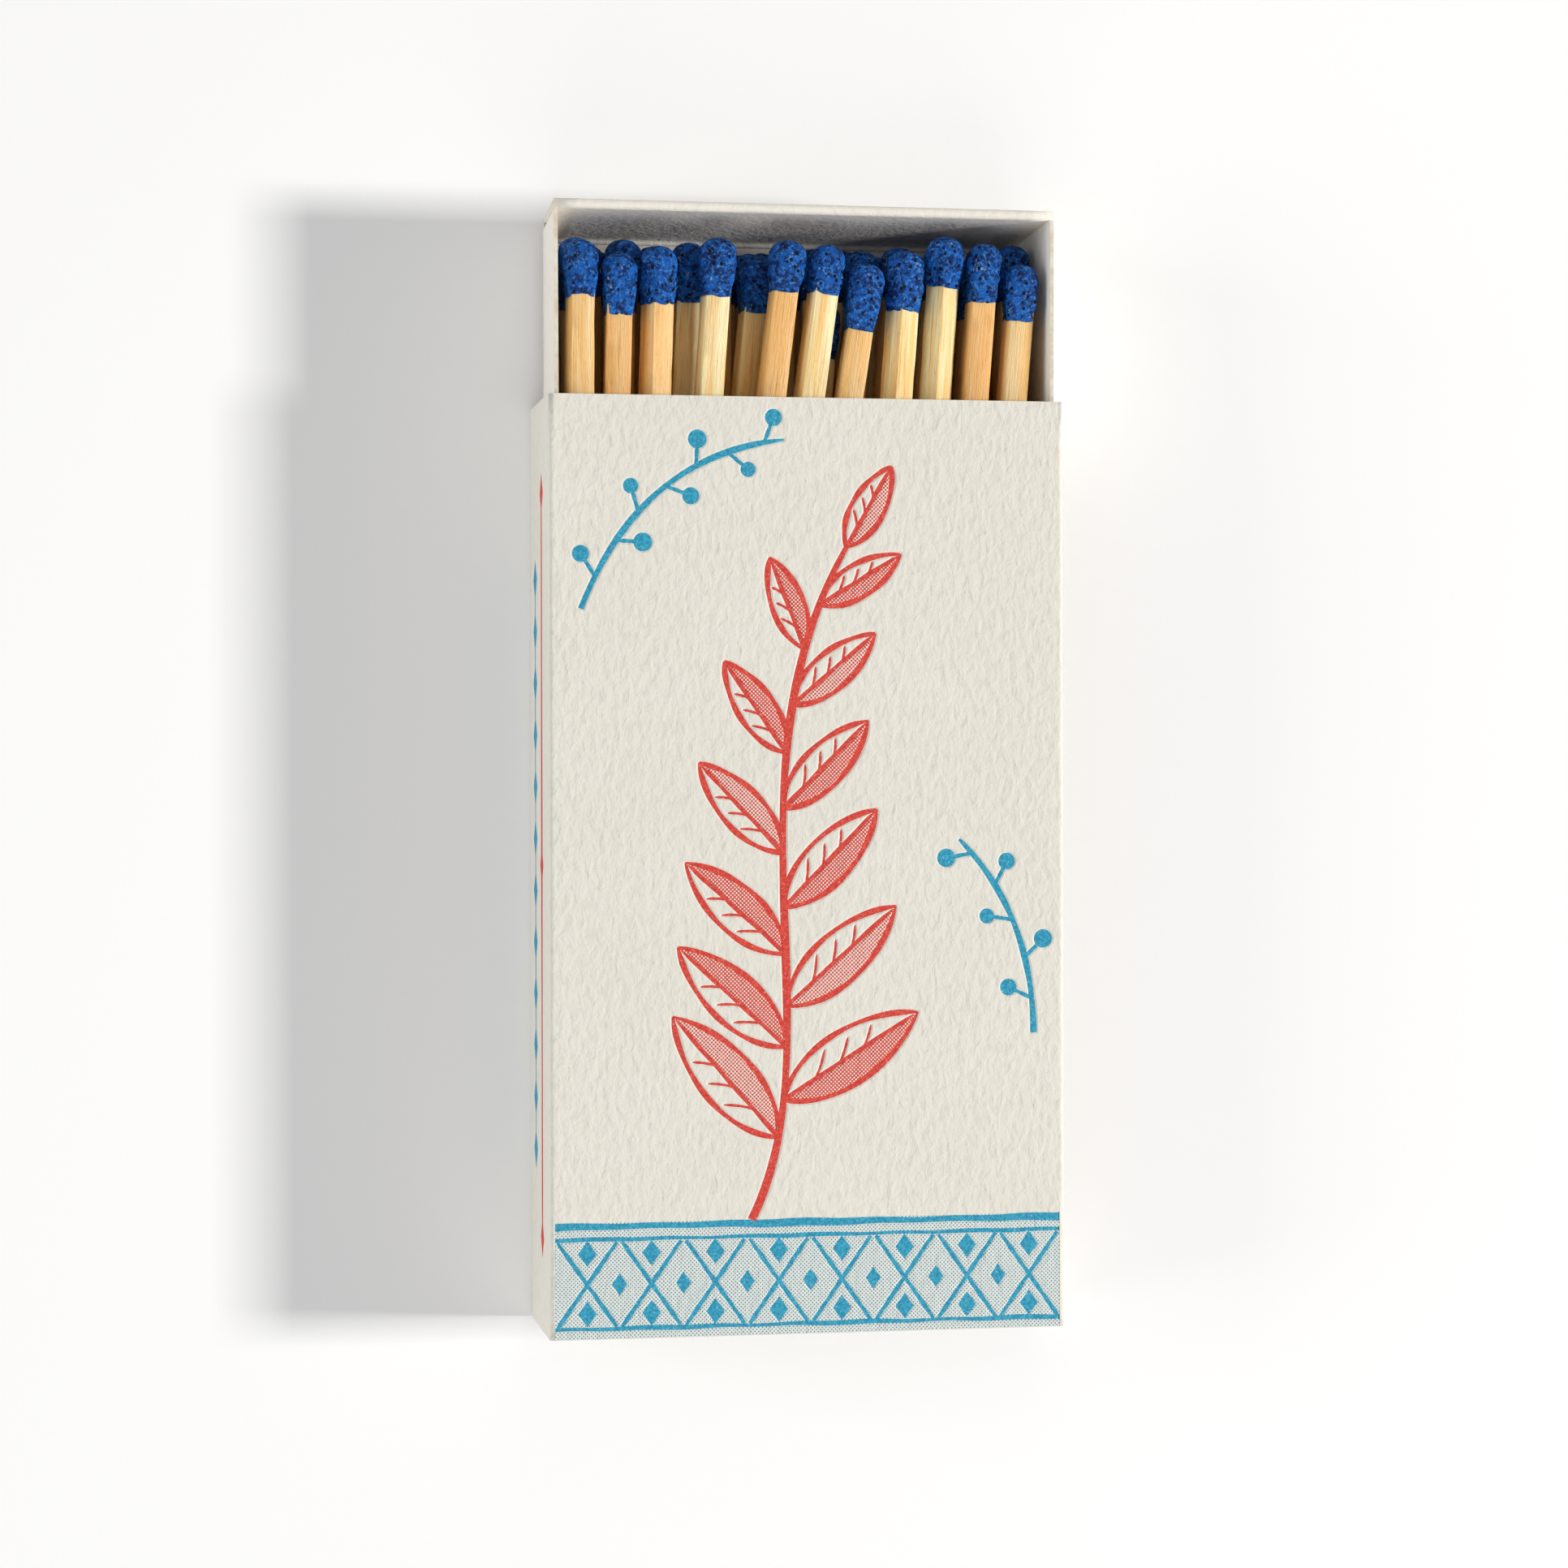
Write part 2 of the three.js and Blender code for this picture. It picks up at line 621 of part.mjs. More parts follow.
// A small sprig of berries: a curved stalk with round berries on short stems to both sides
function sprigPrint(name, from, bend, to, berries) {
  const stalk = new THREE.QuadraticBezierCurve(from, bend, to);
  const parts = [extruded(ribbon(stalk, sprigLine, 8, 0.3), inkThickness)];
  for (let i = 0; i < berries; i++) {
    const t = (i + 0.8) / (berries + 0.3);
    const p = stalk.getPoint(t);
    const along = stalk.getTangent(t);
    const side = i % 2 ? 1 : -1;
    const reach = berryWidth * 1.35;
    const x = p.x + (along.x * 0.6 - along.y * side) * reach;
    const y = p.y + (along.y * 0.6 + along.x * side) * reach;
    parts.push(extruded(straightBar(p.x, p.y, x, y, sprigLine * 0.6), inkThickness));
    const berry = new THREE.Shape();
    berry.absarc(x, y, berryWidth / 2, 0, 2 * Math.PI, false);
    parts.push(extruded(berry, inkThickness, 5));
  }
  const print = joined(parts).translate(0, 0, sleeveHeight);
  return namedMesh(name, print, "blue");
}

// The left side panel's ornament: a long rule with a diamond at each end, and a chain of lozenges
function diamond(x, y, length, width) {
  return new THREE.Shape([
    new THREE.Vector2(x - length / 2, y),
    new THREE.Vector2(x, y - width / 2),
    new THREE.Vector2(x + length / 2, y),
    new THREE.Vector2(x, y + width / 2),
  ]);
}

function onSidePanel(name, shapes, materialName) {
  const print = joined(shapes.map((shape) => extruded(shape, inkThickness)));
  print.applyMatrix4(ON_SIDE).translate(-halfWidth - inkThickness, 0, 0);
  return namedMesh(name, print, materialName);
}

function sideRule() {
  const height = sleeveHeight * 0.6;
  const half = ruleLength / 2;
  return onSidePanel(
    "print_side_rule",
    [
      straightBar(-half, height, half, height, ruleWidth),
      diamond(-half, height, ruleWidth * 5, ruleWidth * 3),
      diamond(half, height, ruleWidth * 5, ruleWidth * 3),
      diamond(0, height, ruleWidth * 5, ruleWidth * 3),
    ],
    "coral",
  );
}

function sideChain() {
  const height = sleeveHeight * 0.26;
  const first = -((chainLinks - 1) * chainPitch) / 2;
  const shapes = [straightBar(first, height, -first, height, chainLine)];
  for (let i = 0; i < chainLinks; i++) {
    shapes.push(diamond(first + i * chainPitch, height, chainPitch * 0.75, sleeveHeight * 0.11));
  }
  return onSidePanel("print_side_chain", shapes, "blue");
}

const drawerGroup = new THREE.Group();
drawerGroup.position.y = drawerOpen;
drawerGroup.add(
  drawer(),
  lowerSticks(),
  lowerHeads(),
  ...matchRow("second", SECOND_ROW, secondHeadAxis, secondTailAxis),
  ...matchRow("top", TOP_ROW, topHeadAxis, topTailAxis),
);

const matchbox = new THREE.Group();
matchbox.add(
  sleeve(),
  striker(),
  bandTint(),
  bandLattice(),
  branchPrint("print_branch_tint", leafHalf, 0, "coralTint"),
  branchPrint("print_branch_lines", leafLines, 1, "coral"),
  sprigPrint(
    "print_sprig_upper",
    onFront(-27, 30),
    onFront(-20, 48),
    onFront(-3, 50),
    7,
  ),
  sprigPrint(
    "print_sprig_side",
    onFront(27, -20),
    onFront(27, -6),
    onFront(18, 3),
    5,
  ),
  sideRule(),
  sideChain(),
  drawerGroup,
);

export default matchbox;
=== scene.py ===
import math
import random

import bmesh
import bpy
import numpy as np
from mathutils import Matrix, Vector, noise
from mathutils.geometry import delaunay_2d_cdt

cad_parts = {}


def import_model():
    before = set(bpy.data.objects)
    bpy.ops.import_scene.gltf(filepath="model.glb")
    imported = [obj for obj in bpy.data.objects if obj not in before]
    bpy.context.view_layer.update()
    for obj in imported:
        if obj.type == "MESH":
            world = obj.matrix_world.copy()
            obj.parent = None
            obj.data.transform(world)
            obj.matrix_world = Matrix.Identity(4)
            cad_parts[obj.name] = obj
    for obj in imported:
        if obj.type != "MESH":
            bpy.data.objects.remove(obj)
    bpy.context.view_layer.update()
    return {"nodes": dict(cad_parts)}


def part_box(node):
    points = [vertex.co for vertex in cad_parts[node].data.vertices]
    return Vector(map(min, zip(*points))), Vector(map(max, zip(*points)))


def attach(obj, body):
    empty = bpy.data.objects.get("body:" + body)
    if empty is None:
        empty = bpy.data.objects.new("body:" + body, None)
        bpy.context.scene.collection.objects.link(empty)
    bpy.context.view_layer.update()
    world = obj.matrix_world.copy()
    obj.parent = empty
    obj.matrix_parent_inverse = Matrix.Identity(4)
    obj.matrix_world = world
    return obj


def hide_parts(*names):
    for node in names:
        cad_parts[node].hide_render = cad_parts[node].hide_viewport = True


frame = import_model()

# Lengths in this script are millimetres in the row frame, and MM takes them to Blender's metres
MM = 0.001


def box_mm(node):
    low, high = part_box(node)
    return np.array(low) / MM, np.array(high) / MM


_, sleeve_high = box_mm("sleeve")
drawer_low, drawer_high = box_mm("drawer")
HALF_WIDTH = sleeve_high[0]
HALF_LENGTH = sleeve_high[1]
HEIGHT = sleeve_high[2]
BOARD = 0.5
FOLD = 0.6
GLUE_FLAP = 12.0
SEAM_SET_BACK = 0.7
PRESS_DEPTH = 0.11
TINT_PRESS = PRESS_DEPTH * 0.3
SIDE_PRESS = 0.02
PRESS_RIM = 0.2
FILM = 0.012


# Meshes

def make_object(name, points, faces, materials, face_materials=None, smooth=True):
    """An object from points in millimetres, with one material index for each face."""
    mesh = bpy.data.meshes.new(name)
    mesh.from_pydata([tuple(float(c) * MM for c in p) for p in points], [], [list(f) for f in faces])
    for material in materials:
        mesh.materials.append(material)
    if face_materials is not None:
        mesh.polygons.foreach_set("material_index", list(face_materials))
    mesh.polygons.foreach_set("use_smooth", [smooth] * len(mesh.polygons))
    mesh.update()
    made = bpy.data.objects.new(name, mesh)
    bpy.context.scene.collection.objects.link(made)
    return made


class Builder:
    """Gathers points and faces of one piece, with a material index for each face."""

    def __init__(self):
        self.points = []
        self.faces = []
        self.indices = []
        self.flat = []

    def add(self, points, faces, index=0, flat=False):
        start = len(self.points)
        self.points += [tuple(p) for p in points]
        self.faces += [tuple(start + i for i in f) for f in faces]
        self.indices += [index] * len(faces)
        self.flat += [flat] * len(faces)
        return start

    def build(self, name, materials, weld=2e-4):
        made = make_object(name, self.points, self.faces, materials, self.indices)
        made.data.polygons.foreach_set("use_smooth", [not f for f in self.flat])
        weld_points(made, weld)
        return made


def weld_points(made, distance):
    work = bmesh.new()
    work.from_mesh(made.data)
    bmesh.ops.remove_doubles(work, verts=work.verts, dist=distance * MM)
    bmesh.ops.recalc_face_normals(work, faces=work.faces)
    work.to_mesh(made.data)
    work.free()
    made.data.update()


def grid_faces(rows, columns, closed=False):
    """Quads between rows of points, each row of the same number of columns."""
    faces = []
    last = columns if closed else columns - 1
    for i in range(rows - 1):
        for k in range(last):
            n = (k + 1) % columns
            faces.append((i * columns + k, i * columns + n, (i + 1) * columns + n, (i + 1) * columns + k))
    return faces


def closed_tube(rows, columns):
    """Quads round a tube of rings, and one face at each end."""
    first = tuple(range(columns))[::-1]
    last = tuple((rows - 1) * columns + k for k in range(columns))
    return grid_faces(rows, columns, closed=True) + [first, last]


def sheet(builder, surface, us, vs, thickness, skin=0, edge=1):
    """A sheet of card: surface(u, v) gives a point and its unit normal on the card's outer face."""
    outer, inner = [], []
    for u in us:
        for v in vs:
            point, normal = surface(u, v)
            outer.append(np.asarray(point, float))
            inner.append(np.asarray(point, float) - np.asarray(normal, float) * thickness)
    rows, columns = len(us), len(vs)
    count = rows * columns
    faces = grid_faces(rows, columns)
    builder.add(outer, faces, skin)
    builder.add(inner, [f[::-1] for f in faces], skin)
    rim = []
    for i in range(rows - 1):
        for k in (0, columns - 1):
            rim.append((i * columns + k, (i + 1) * columns + k))
    for k in range(columns - 1):
        for i in (0, rows - 1):
            rim.append((i * columns + k, i * columns + k + 1))
    both = outer + inner
    builder.add(both, [(a, b, b + count, a + count) for a, b in rim], edge, flat=True)


# Flat outlines of ink

def bezier(points, count):
    p = np.array(points, float)
    t = np.linspace(0, 1, count)[:, None]
    if len(p) == 3:
        return (1 - t) ** 2 * p[0] + 2 * t * (1 - t) * p[1] + t ** 2 * p[2]
    return (1 - t) ** 3 * p[0] + 3 * t * (1 - t) ** 2 * p[1] + 3 * t ** 2 * (1 - t) * p[2] + t ** 3 * p[3]


def brush(path, width, seed=0, taper=(0.35, 0.35), wobble=0.12):
    """A drawn line along a path: its width swells and thins like a brush stroke."""
    path = np.array(path, float)
    step = np.gradient(path, axis=0)
    along = step / np.linalg.norm(step, axis=1)[:, None]
    side = np.stack([-along[:, 1], along[:, 0]], axis=1)
    share = np.linspace(0, 1, len(path))
    draw = random.Random(seed)
    phase, turns = draw.uniform(0, 6.28), draw.uniform(1.5, 3.0)
    half = np.full(len(path), width / 2)
    half *= 1 + wobble * np.sin(phase + share * turns * 2 * math.pi)
    half *= 1 - (1 - taper[0]) * np.clip(1 - share / 0.12, 0, 1) ** 2
    half *= 1 - (1 - taper[1]) * np.clip(1 - (1 - share) / 0.12, 0, 1) ** 2
    left, right = path + side * half[:, None], path - side * half[:, None]
    return np.concatenate([right, left[::-1]])


def disc(centre, radius, count=18):
    a = np.arange(count) / count * 2 * math.pi
    return np.stack([centre[0] + radius * np.cos(a), centre[1] + radius * np.sin(a)], axis=1)


def area_of(outline):
    x, y = outline[:, 0], outline[:, 1]
    return 0.5 * float(np.sum(x * np.roll(y, -1) - np.roll(x, -1) * y))


def grown(outline, by):
    """The outline moved outwards along its corners' own directions."""
    before = outline - np.roll(outline, 1, axis=0)
    after = np.roll(outline, -1, axis=0) - outline
    sign = 1.0 if area_of(outline) > 0 else -1.0

    def normals(step):
        length = np.maximum(np.linalg.norm(step, axis=1), 1e-9)[:, None]
        return np.stack([step[:, 1], -step[:, 0]], axis=1) / length * sign

    n0, n1 = normals(before), normals(after)
    middle = n0 + n1
    middle /= np.maximum(np.linalg.norm(middle, axis=1), 1e-6)[:, None]
    stretch = 1 / np.maximum(np.sum(middle * n1, axis=1), 0.55)
    return outline + middle * (by * stretch)[:, None]


def inside(points, outline):
    """Which points lie inside a closed outline, by counting crossings."""
    x, y = points[:, 0], points[:, 1]
    found = np.zeros(len(points), bool)
    low, high = outline.min(0), outline.max(0)
    near = np.where((x >= low[0]) & (x <= high[0]) & (y >= low[1]) & (y <= high[1]))[0]
    if len(near) == 0:
        return found
    px, py = x[near][:, None], y[near][:, None]
    a, b = outline, np.roll(outline, -1, axis=0)
    crosses = (a[:, 1] > py) != (b[:, 1] > py)
    slope = (b[:, 0] - a[:, 0]) / np.where(b[:, 1] == a[:, 1], 1e-12, b[:, 1] - a[:, 1])
    hits = crosses & (px < a[:, 0] + (py - a[:, 1]) * slope)
    found[near] = hits.sum(axis=1) % 2 == 1
    return found


def distance_to(points, outline, reach):
    """How far points lie outside a closed outline, 0 within it, up to reach."""
    away = np.full(len(points), reach, float)
    low, high = outline.min(0) - reach, outline.max(0) + reach
    near = np.where(np.all((points >= low) & (points <= high), axis=1))[0]
    if len(near) == 0:
        return away
    p = points[near][:, None, :]
    a, b = outline[None], np.roll(outline, -1, axis=0)[None]
    ab = b - a
    t = np.clip(np.sum((p - a) * ab, axis=2) / np.maximum(np.sum(ab * ab, axis=2), 1e-12), 0, 1)
    gap = np.linalg.norm(p - (a + ab * t[..., None]), axis=2).min(axis=1)
    gap[inside(points[near], outline)] = 0
    away[near] = np.minimum(gap, reach)
    return away


class Ink:
    """One colour of ink on a panel: closed outlines, and how deep they press the card."""

    def __init__(self, name, node, slot, material, press):
        self.name, self.node, self.slot, self.material, self.press = name, node, slot, material, press
        self.outlines = []
        self.cover = []

    def draw(self, outline, cover=0.5):
        self.outlines.append(np.array(outline, float))
        self.cover.append(cover)


def press_panel(builder, low, high, inks, place, rows, body):
    """Adds a printed panel between two corners, pressed in under its ink, and makes the films of ink.
    place(x, y, depth) takes a panel point to the row frame. The first ink in the list lies on top."""
    points, edges = [], []

    def add_loop(loop):
        start = len(points)
        points.extend(Vector((float(x), float(y))) for x, y in loop)
        edges.extend((start + i, start + (i + 1) % len(loop)) for i in range(len(loop)))

    ys = np.linspace(low[1], high[1], rows)
    add_loop([(low[0], y) for y in ys[::-1]] + [(high[0], y) for y in ys])
    for x in np.linspace(low[0], high[0], max(3, int((high[0] - low[0]) / 6)))[1:-1]:
        points.extend(Vector((float(x), float(y))) for y in ys[1:-1])
    small, large = np.array(low) + 1e-3, np.array(high) - 1e-3
    for ink in inks:
        for outline in ink.outlines:
            add_loop(np.clip(outline, small, large))
            if ink.press:
                add_loop(np.clip(grown(outline, PRESS_RIM), small, large))
    verts, _, faces, _, _, _ = delaunay_2d_cdt(points, edges, [], 0, 1e-5)
    flat = np.array([tuple(v) for v in verts])
    faces = [tuple(f) for f in faces]
    middle = np.array([flat[list(f)].mean(0) for f in faces])

    depth = np.zeros(len(flat))
    for ink in inks:
        if ink.press:
            for outline in ink.outlines:
                away = distance_to(flat, outline, PRESS_RIM) / PRESS_RIM
                depth = np.maximum(depth, ink.press * (1 - away * away * (3 - 2 * away)))
    placed = [place(x, y, d) for (x, y), d in zip(flat, depth)]
    builder.add(placed, faces, flat=True)

    taken = np.zeros(len(faces), bool)
    for ink in inks:
        own = np.zeros(len(faces), bool)
        cover = np.zeros(len(faces))
        for outline, share in zip(ink.outlines, ink.cover):
            hit = inside(middle, outline)
            own |= hit
            cover[hit] = share
        own &= ~taken
        taken |= own
        inked = [faces[i] for i in np.where(own)[0]]
        ink_film(ink, flat, depth, inked, place, body, cover[own])


def ink_film(ink, flat, depth, faces, place, body, cover):
    """A closed film of ink over some of a panel's triangles."""
    used = sorted({i for f in faces for i in f})
    order = {v: k for k, v in enumerate(used)}
    count = len(used)
    top = [place(flat[v][0], flat[v][1], depth[v] - FILM) for v in used]
    under = [place(flat[v][0], flat[v][1], depth[v] - FILM * 0.25) for v in used]
    shell = [tuple(order[v] for v in f) for f in faces]
    walls = {}
    for f in shell:
        for a, b in zip(f, f[1:] + f[:1]):
            if (b, a) in walls:
                del walls[(b, a)]
            else:
                walls[(a, b)] = True
    sides = [(a, a + count, b + count, b) for a, b in walls]
    bottom = [tuple(v + count for v in f[::-1]) for f in shell]
    film = make_object(ink.name, top + under, shell + bottom + sides, [ink.material], smooth=False)
    tint = film.data.attributes.new("cover", "FLOAT", "FACE")
    tint.data.foreach_set("value", list(cover) * 2 + [float(np.mean(cover))] * len(sides))
    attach(film, body)
    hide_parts(ink.node)


# Materials

class Shader:
    """A Principled material, with a short way to add nodes and link them."""

    def __init__(self, name, **settings):
        self.material = bpy.data.materials.new(name)
        self.material.use_nodes = True
        self.tree = self.material.node_tree
        self.surface = self.tree.nodes["Principled BSDF"]
        for key, value in settings.items():
            self.surface.inputs[key.replace("_", " ")].default_value = value

    def node(self, kind, inputs=None, **settings):
        made = self.tree.nodes.new(kind)
        for key, value in settings.items():
            setattr(made, key, value)
        for key, value in (inputs or {}).items():
            self.set(made, key, value)
        return made

    def set(self, made, key, value):
        if isinstance(value, bpy.types.NodeSocket):
            self.tree.links.new(value, made.inputs[key])
        else:
            made.inputs[key].default_value = value

    def math(self, operation, a, b=0.0):
        return self.node("ShaderNodeMath", {0: a, 1: b}, operation=operation).outputs[0]

    def object_place(self, scale=(1, 1, 1)):
        place = self.node("ShaderNodeTexCoord").outputs["Object"]
        return self.node("ShaderNodeMapping", {"Vector": place, "Scale": scale}).outputs["Vector"]

    def attribute(self, name, output="Vector"):
        return self.node("ShaderNodeAttribute", attribute_name=name).outputs[output]

    def noise(self, place, scale, detail=3.0, roughness=0.55, distortion=0.0):
        inputs = {"Vector": place, "Scale": scale, "Detail": detail}
        inputs.update({"Roughness": roughness, "Distortion": distortion})
        return self.node("ShaderNodeTexNoise", inputs).outputs["Fac"]

    def cells(self, place, scale):
        inputs = {"Vector": place, "Scale": scale, "Randomness": 1.0}
        return self.node("ShaderNodeTexVoronoi", inputs).outputs["Distance"]

    def ramp(self, value, low, high, to_low=0.0, to_high=1.0):
        inputs = {"Value": value, "From Min": low, "From Max": high, "To Min": to_low, "To Max": to_high}
        return self.node("ShaderNodeMapRange", inputs, interpolation_type="SMOOTHSTEP").outputs["Result"]

    def blend(self, share, a, b):
        made = self.node("ShaderNodeMix", data_type="RGBA")
        for key, value in (("Factor", share), ("A", a), ("B", b)):
            kind_wanted = "VALUE" if key == "Factor" else "RGBA"
            socket = [s for s in made.inputs if s.name == key and s.type == kind_wanted][0]
            if isinstance(value, bpy.types.NodeSocket):
                self.tree.links.new(value, socket)
            else:
                socket.default_value = value
        return [s for s in made.outputs if s.type == "RGBA"][0]

    def bump(self, *heights):
        """Bumps laid on each other: pairs of a height socket and its depth in millimetres."""
        normal = None
        for height, depth in heights:
            made = self.node("ShaderNodeBump", {"Height": height, "Distance": depth * MM, "Strength": 1.0})
            if normal is not None:
                self.tree.links.new(normal, made.inputs["Normal"])
            normal = made.outputs["Normal"]
        self.tree.links.new(normal, self.surface.inputs["Normal"])

    def colour(self, value):
        self.set(self.surface, "Base Color", value)


def srgb(red, green, blue):
    """A colour written as a screen shows it, 0 to 255, as Blender's own linear values."""
    def linear(c):
        c /= 255
        return c / 12.92 if c <= 0.04045 else ((c + 0.055) / 1.055) ** 2.4

    return (linear(red), linear(green), linear(blue), 1.0)


PAPER = srgb(232, 228, 217)
PAPER_LIGHT = srgb(237, 233, 223)
PAPER_DARK = srgb(214, 209, 198)
RAW_EDGE = srgb(218, 203, 176)
CORAL = srgb(226, 84, 70)
CORAL_DEEP = srgb(205, 62, 52)
BLUE = srgb(62, 170, 200)
BLUE_DEEP = srgb(40, 142, 176)


def paper_tooth(shader, strength=1.0):
    """The felt side of soft cotton card: long soft ridges up the sheet, and a fine tooth."""
    long_place = shader.object_place((1.0, 0.55, 1.0))
    fine_place = shader.object_place()
    ridges = shader.noise(long_place, 1050, 3.0, 0.55, 0.3)
    tooth = shader.noise(fine_place, 3000, 3.0, 0.6)
    shader.bump((ridges, 0.27 * strength), (tooth, 0.035 * strength))
    return ridges, tooth


def card_material(name, strength=1.0, colour=PAPER, light=PAPER_LIGHT, dark=PAPER_DARK):
    shader = Shader(name, Roughness=0.92, Specular_IOR_Level=0.22)
    ridges, _ = paper_tooth(shader, strength)
    wide = shader.noise(shader.object_place(), 60, 2.0)
    tone = shader.blend(shader.ramp(wide, 0.3, 0.7, 0.0, 0.4), colour, light)
    tone = shader.blend(shader.ramp(ridges, 0.55, 0.3, 0.0, 0.3), tone, dark)
    fibre = shader.noise(shader.object_place((1.0, 0.25, 1.0)), 3800, 2.0)
    tone = shader.blend(shader.ramp(fibre, 0.66, 0.8, 0.0, 0.3), tone, dark)
    shader.colour(tone)
    return shader.material


def raw_edge_material():
    shader = Shader("raw_card_edge", Roughness=0.95)
    layers = shader.noise(shader.object_place(), 700, 4.0)
    shader.colour(shader.blend(shader.ramp(layers, 0.35, 0.65), PAPER, RAW_EDGE))
    shader.bump((layers, 0.05))
    return shader.material


def ink_material(name, colour, deep):
    shader = Shader(name, Roughness=0.78, Specular_IOR_Level=0.3)
    _, tooth = paper_tooth(shader, 0.75)
    speckle = shader.noise(shader.object_place(), 4200, 2.0)
    tone = shader.blend(shader.ramp(tooth, 0.4, 0.62), deep, colour)
    tone = shader.blend(shader.ramp(speckle, 0.64, 0.74, 0.0, 0.45), tone, PAPER)
    shader.colour(tone)
    return shader.material


# Pitches of dot screens along a panel, in dots to the millimetre
HALFTONE_SCREEN = 2.18
STRIKER_SCREEN = 0.62


def dot_screen(shader, screen, axes, rough, amount):
    """A wave that peaks at the dots of a screen at 45 degrees, made uneven by some noise."""
    place = shader.node("ShaderNodeSeparateXYZ", {0: shader.object_place()})
    wave = []
    for axis in axes:
        turn = shader.math("MULTIPLY", place.outputs[axis], 2 * math.pi * screen / MM)
        wave.append(shader.math("COSINE", turn))
    uneven = shader.math("MULTIPLY", shader.math("SUBTRACT", rough, 0.5), amount)
    return shader.math("ADD", shader.math("MULTIPLY", wave[0], wave[1]), uneven)


def halftone_material(name, colour, deep):
    """Ink laid as a screen of dots at 45 degrees, over card. The cover attribute says how much is inked."""
    shader = Shader(name, Roughness=0.85, Specular_IOR_Level=0.25)
    _, tooth = paper_tooth(shader, 0.9)
    rough = shader.noise(shader.object_place(), 5200, 2.0)
    dots = dot_screen(shader, HALFTONE_SCREEN, (0, 1), rough, 0.7)
    cover = shader.attribute("cover", "Fac")
    level = shader.math("MULTIPLY", shader.math("SUBTRACT", cover, 0.5), 1.7)
    edge = shader.math("SUBTRACT", dots, level)
    bare = shader.ramp(edge, -0.12, 0.12)
    ink = shader.blend(shader.ramp(tooth, 0.4, 0.62), deep, colour)
    shader.colour(shader.blend(bare, ink, PAPER))
    return shader.material


def wood_material():
    """Split aspen: pale streaks and golden grain along the splint, and streaks of painted highlight along
    it, in its own grain coordinates.
    """
    # Light goes a little way into thin aspen and comes out orange
    glow = {"Subsurface_Weight": 0.3, "Subsurface_Scale": 0.001, "Subsurface_Radius": (1.0, 0.5, 0.16)}
    shader = Shader("splint_wood", Roughness=0.46, Specular_IOR_Level=0.42, **glow)
    grain = shader.attribute("grain")
    tone = shader.attribute("tone", "Fac")

    def streak(scale, along, detail=3.0):
        place = shader.node("ShaderNodeMapping", {"Vector": grain, "Scale": (1, along, 1)}).outputs["Vector"]
        return shader.noise(place, scale, detail, 0.6)

    broad = streak(0.9, 0.05)
    fine = streak(4.5, 0.03)
    pores = streak(9.0, 0.08, 2.0)
    painted_glint = streak(6.5, 0.12, 2.0)
    mixed = shader.blend(shader.ramp(broad, 0.32, 0.68), srgb(250, 206, 128), srgb(255, 240, 190))
    mixed = shader.blend(shader.ramp(tone, 0.0, 1.0, 0.0, 0.7), mixed, srgb(236, 164, 70))
    mixed = shader.blend(shader.ramp(fine, 0.52, 0.72, 0.0, 0.55), mixed, srgb(204, 138, 54))
    mixed = shader.blend(shader.ramp(pores, 0.66, 0.78, 0.0, 0.7), mixed, srgb(150, 88, 30))
    # Streaks of painted highlight: a glint of light laid into the wood's colour along the grain
    mixed = shader.blend(shader.ramp(painted_glint, 0.64, 0.76, 0.0, 0.5), mixed, srgb(255, 244, 214))
    shader.colour(mixed)
    shader.bump((fine, 0.1), (pores, 0.08))
    return shader.material


def head_material():
    """Match-head compound: dry, blue and porous, with pits painted near black as shade in them, crumbs
    painted lighter partly as a highlight, and a bloom of pale dust.
    """
    shader = Shader("match_head_compound", Roughness=0.55, Specular_IOR_Level=0.2)
    place = shader.attribute("grain")
    lumps = shader.noise(place, 1.1, 4.0, 0.6)
    crumbs = shader.noise(place, 2.4, 5.0, 0.7)
    pits = shader.cells(place, 1.0)
    small = shader.cells(place, 3.4)
    dust_place = shader.noise(place, 0.8, 5.0, 0.7)
    tone = shader.blend(shader.ramp(lumps, 0.42, 0.58), srgb(0, 38, 100), srgb(8, 92, 182))
    # Crumbs are painted lighter: partly their own paler compound, partly a painted highlight on the raised
    # grains
    tone = shader.blend(shader.ramp(crumbs, 0.5, 0.64, 0.0, 0.6), tone, srgb(76, 158, 240))
    dust = shader.math("MULTIPLY", shader.ramp(dust_place, 0.55, 0.72), shader.ramp(crumbs, 0.5, 0.6))
    tone = shader.blend(shader.math("MULTIPLY", dust, 0.85), tone, srgb(176, 204, 232))
    # The pits get painted shade: near black laid into the hollows, as well as their bump
    hole = shader.ramp(pits, 0.15, 0.24, 1.0, 0.0)
    fine_shaded_pit = shader.ramp(small, 0.09, 0.16, 1.0, 0.0)
    shaded_pits = shader.math("MAXIMUM", hole, shader.math("MULTIPLY", fine_shaded_pit, 0.7))
    tone = shader.blend(shaded_pits, tone, srgb(2, 8, 28))
    shader.colour(tone)
    depth = shader.math("SUBTRACT", 1.0, shaded_pits)
    shader.bump((lumps, 0.3), (crumbs, 0.22), (depth, 0.3))
    return shader.material


def striker_material():
    """The striking strip: a fine grid of dots of dark red-brown compound over card."""
    shader = Shader("striking_compound", Roughness=1.0)
    grit = shader.noise(shader.object_place(), 3600, 3.0)
    dots = dot_screen(shader, STRIKER_SCREEN, (1, 2), grit, 0.5)
    share = shader.ramp(dots, 0.42, 0.55)
    dark = shader.blend(shader.ramp(grit, 0.4, 0.6), srgb(66, 34, 30), srgb(92, 52, 44))
    shader.colour(shader.blend(share, dark, PAPER))
    shader.bump((grit, 0.09), (share, -0.03))
    return shader.material


